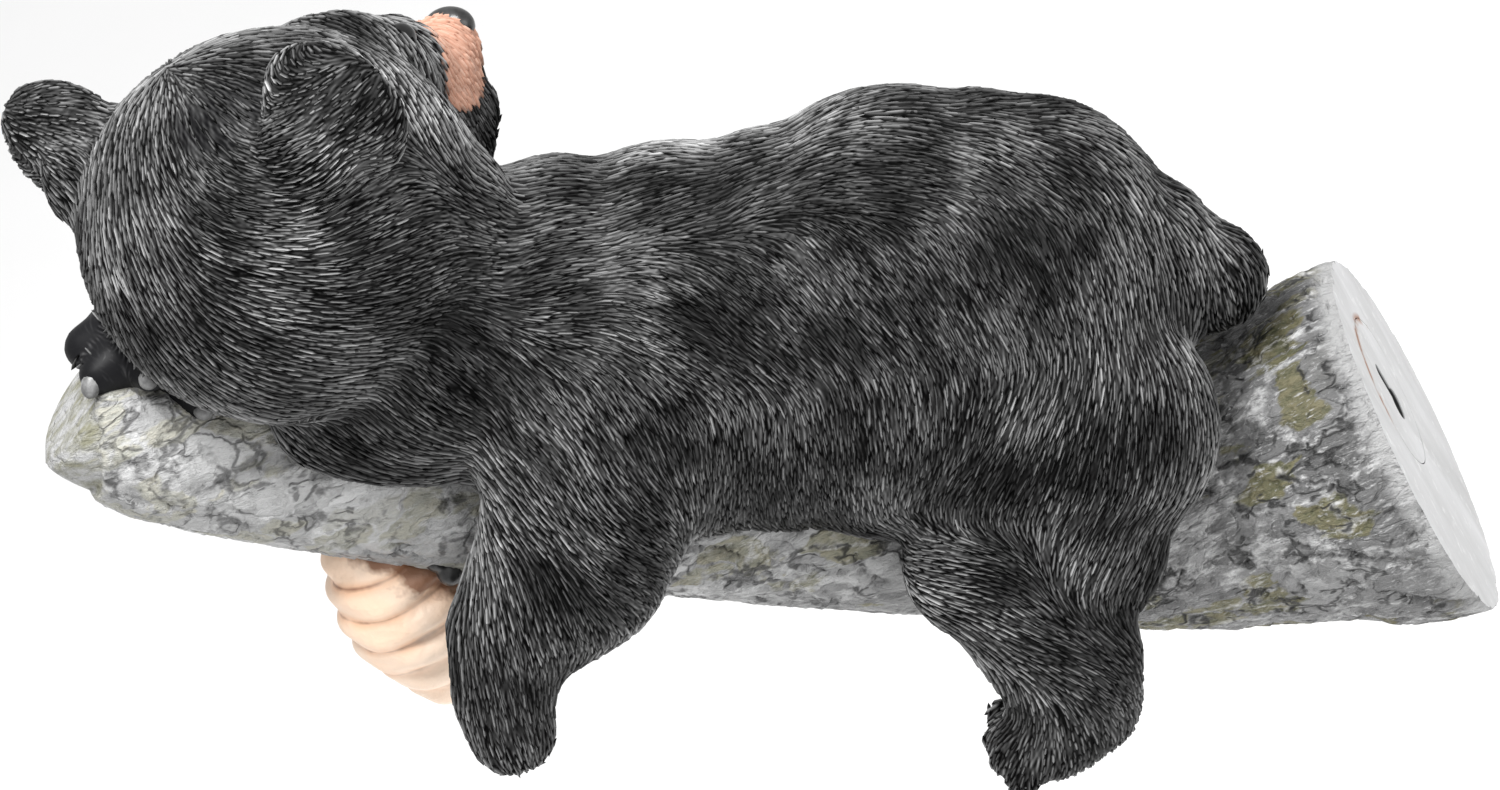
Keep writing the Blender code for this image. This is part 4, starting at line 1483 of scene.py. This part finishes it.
def bare_paint():
    """Bare pale grey resin, near-black painted shade deep in the keyhole and pocket, and a
    reddish-brown line round the plug's edge.
    """
    paint = Paint("bare grey resin", BARE_ROUGHNESS)
    pale = paint.noise(*BARE_CLOUDS).ramp(BARE_STREAKS)
    pale = pale.under(paint.noise(*CHALK_SPOTS).ramp(CHALK_SHARE), CHALK)
    # a reddish-brown line along the plug's edge, on its upper half only
    above = paint.axis("Z") - PLUG_RISE
    across = paint.axis("Y")
    square = across.math("POWER", 2.0) + above.math("POWER", 2.0)
    off_edge = (square.math("SQRT") - PLUG_DIAMETER / 2).math("ABSOLUTE")
    near = off_edge * (1.0 / REDDISH_LINE_REACH)
    reddish_line = near.ramp(REDDISH_LINE_FADE) * paint.noise(*REDDISH_LINE_CLOUDS).ramp(REDDISH_LINE_BREAKS)
    upper = (above * (1.0 / PLUG_DIAMETER)).ramp(REDDISH_LINE_ABOVE)
    # painted shade: all that lies deeper than the face, in the pocket and the keyhole, turns
    # near-black
    depth = paint.axis("X") * (-1.0 / KEYHOLE_SHADE_DEPTH)
    color = pale.under(reddish_line * upper, REDDISH_LINE).under(depth.ramp(KEYHOLE_SHADE_FADE), KEYHOLE_PAINTED_SHADE)
    paint.set("Base Color", color)
    paint.bump(paint.noise(*BARE_GRAIN), *BARE_BUMP)
    return paint.material


def hive_paint():
    """Cream paint with a brown wash in the clefts and brown painted shade at the hive's top, under
    the branch.
    """
    paint = Paint("cream hive paint", HIVE_ROUGHNESS)
    wash = paint.stored("cleft") * paint.noise(*HIVE_WASH)
    color = wash.ramp(CREAM).under(paint.noise(*HIVE_CLOUDS).ramp(PALE_SHARE), PALE_CREAM)
    top = hive_top()
    # painted shade: brown over the hive's top under the branch, fading downwards and towards -X
    lower = (top.z - HIVE_PAINTED_SHADE * SHADE_DROP) - paint.axis("Z")
    aside = (top.x + HIVE_PAINTED_SHADE * SHADE_ASIDE) - paint.axis("X")
    away = lower * (1.0 / HIVE_PAINTED_SHADE) + aside * (SHADE_SLANT / HIVE_PAINTED_SHADE)
    away = away + paint.noise(*SHADE_CLOUDS) * SHADE_RAGGED
    paint.set("Base Color", color.under(away.ramp(PAINTED_SHADE_FADE), PAINTED_SHADE_BROWN))
    rough = paint.noise(*HIVE_GRAIN) + paint.noise(*HIVE_DENTS) * DENT_SHARE
    paint.bump(rough, *HIVE_BUMP)
    return paint.material


def plain_paint(name, low, high, roughness, scale=PLAIN_SCALE):
    """A paint with a little cloud of tone and a fine grain."""
    paint = Paint(name, roughness)
    paint.set("Base Color", paint.noise(scale).ramp(tuple(zip(PLAIN_PLACES, (low, high)))))
    paint.bump(paint.noise(scale * 3.0), *FINE_BUMP)
    return paint.material


# Camera, floor and light


def make_camera():
    """The photograph's view, almost without perspective."""
    data = bpy.data.cameras.new("camera")
    data.sensor_width = SENSOR
    data.lens = SENSOR * CAMERA_FAR / (PHOTO_WIDTH * PIXEL)
    camera = bpy.data.objects.new("camera", data)
    axes = Matrix((CAMERA_RIGHT, CAMERA_UP, CAMERA_BACK)).transposed().to_4x4()
    camera.matrix_world = Matrix.Translation(camera_place()) @ axes
    bpy.context.scene.collection.objects.link(camera)
    bpy.context.scene.camera = camera


def make_floor(group):
    """A pale floor well below the hanging piece."""
    shape = bmesh.new()
    bmesh.ops.create_grid(shape, x_segments=1, y_segments=1, size=FLOOR_REACH,
                          matrix=Matrix.Translation((0.0, 0.0, FLOOR_HEIGHT)))
    floor = object_from("floor", shape, group)
    floor.data.materials.append(plain_paint(*FLOOR_PAINT, FLOOR_SCALE))


def make_lamp(name, way, distance, size, power):
    """A soft box that looks at the middle of the piece."""
    data = bpy.data.lights.new(name, "AREA")
    data.shape = "DISK"
    data.size = size
    data.energy = power
    lamp = bpy.data.objects.new(name, data)
    back = way.normalized()
    turn = back.to_track_quat("Z", "Y").to_matrix().to_4x4()
    lamp.matrix_world = Matrix.Translation(LIT_PLACE + back * distance) @ turn
    bpy.context.scene.collection.objects.link(lamp)


def light_scene():
    """A pale room, a broad key from over the cub's back and a low fill."""
    bpy.context.scene.view_settings.view_transform = "Standard"
    world = bpy.data.worlds.new("pale room")
    world.use_nodes = True
    room = world.node_tree.nodes["Background"].inputs
    room["Color"].default_value = full_color(1.0)
    room["Strength"].default_value = ROOM_LIGHT
    bpy.context.scene.world = world
    for name, way, distance, size, power in LAMPS:
        turned = CAMERA_RIGHT * way[0] + CAMERA_UP * way[1] + CAMERA_BACK * way[2]
        make_lamp(name, turned, distance, size, power)


# Putting it together


def finished(item, paint, angle=EVEN_ANGLE):
    """Paint a piece, smooth it, and say what it stands for."""
    if not item.data.materials:
        item.data.materials.append(paint)
    item.data.shade_smooth()
    item.data.set_sharp_from_angle(angle=math.radians(angle))
    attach(item, "root")
    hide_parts("bear_on_branch")


def dress_cub(group):
    """The cub's skin and its strands, in bands along the cub."""
    skin = cub_skin(group)
    press(skin, sinks())
    carve_cub(skin)
    points = points_of(skin.data)
    order = np.argsort(np.argsort(along_branch(points)))
    store(skin.data, "band", order / len(points))
    strand = bpy.data.objects.new("strand", strand_shape())
    group.objects.link(strand)
    tree = strand_tree(strand, strand_paint())
    edges = [index / len(BANDS) for index in range(len(BANDS))] + [BANDS_END]
    pieces = [strands_on(skin, tree, name, (edges[number], edges[number + 1]), number, group)
              for number, name in enumerate(BANDS)]
    bpy.data.objects.remove(strand, do_unlink=True)
    for piece in pieces:
        finished(piece, None, FUR_ANGLE)
    finished(skin, skin_paint(), FUR_ANGLE)


def is_bare(face):
    """Whether a face of the bark is in the flat end face or in the plug's pocket."""
    flat_end = face.normal.x > FLAT_NORMAL and face.center.x > -FLAT_DEPTH
    aside = Vector((0.0, face.center.y, face.center.z - PLUG_RISE)).length
    return flat_end or aside < PLUG_DIAMETER * POCKET_SHARE and face.center.x > -POCKET_REACH


def dress_branch(group):
    """The bark with its bare end face."""
    bark = make_branch(group)
    bark.data.materials.clear()
    bark.data.materials.append(bark_paint())
    bark.data.materials.append(bare_paint())
    for face in bark.data.polygons:
        face.material_index = int(is_bare(face))
    finished(bark, None, BARK_ANGLE)


def main():
    group = bpy.context.scene.collection
    dress_cub(group)
    dress_branch(group)
    finished(make_hive(group), hive_paint())
    finished(make_claws(group), plain_paint(*CLAW_PAINT))
    dark = plain_paint(*DARK_PAINT)
    finished(make_nose(group), dark)
    finished(make_hive_claws(group), dark)
    finished(make_eyes(group), plain_paint(*EYE_PAINT))
    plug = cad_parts["hanger_plug"]
    plug.data.materials.clear()
    plug.data.materials.append(bare_paint())
    make_floor(group)
    make_camera()
    light_scene()


main()
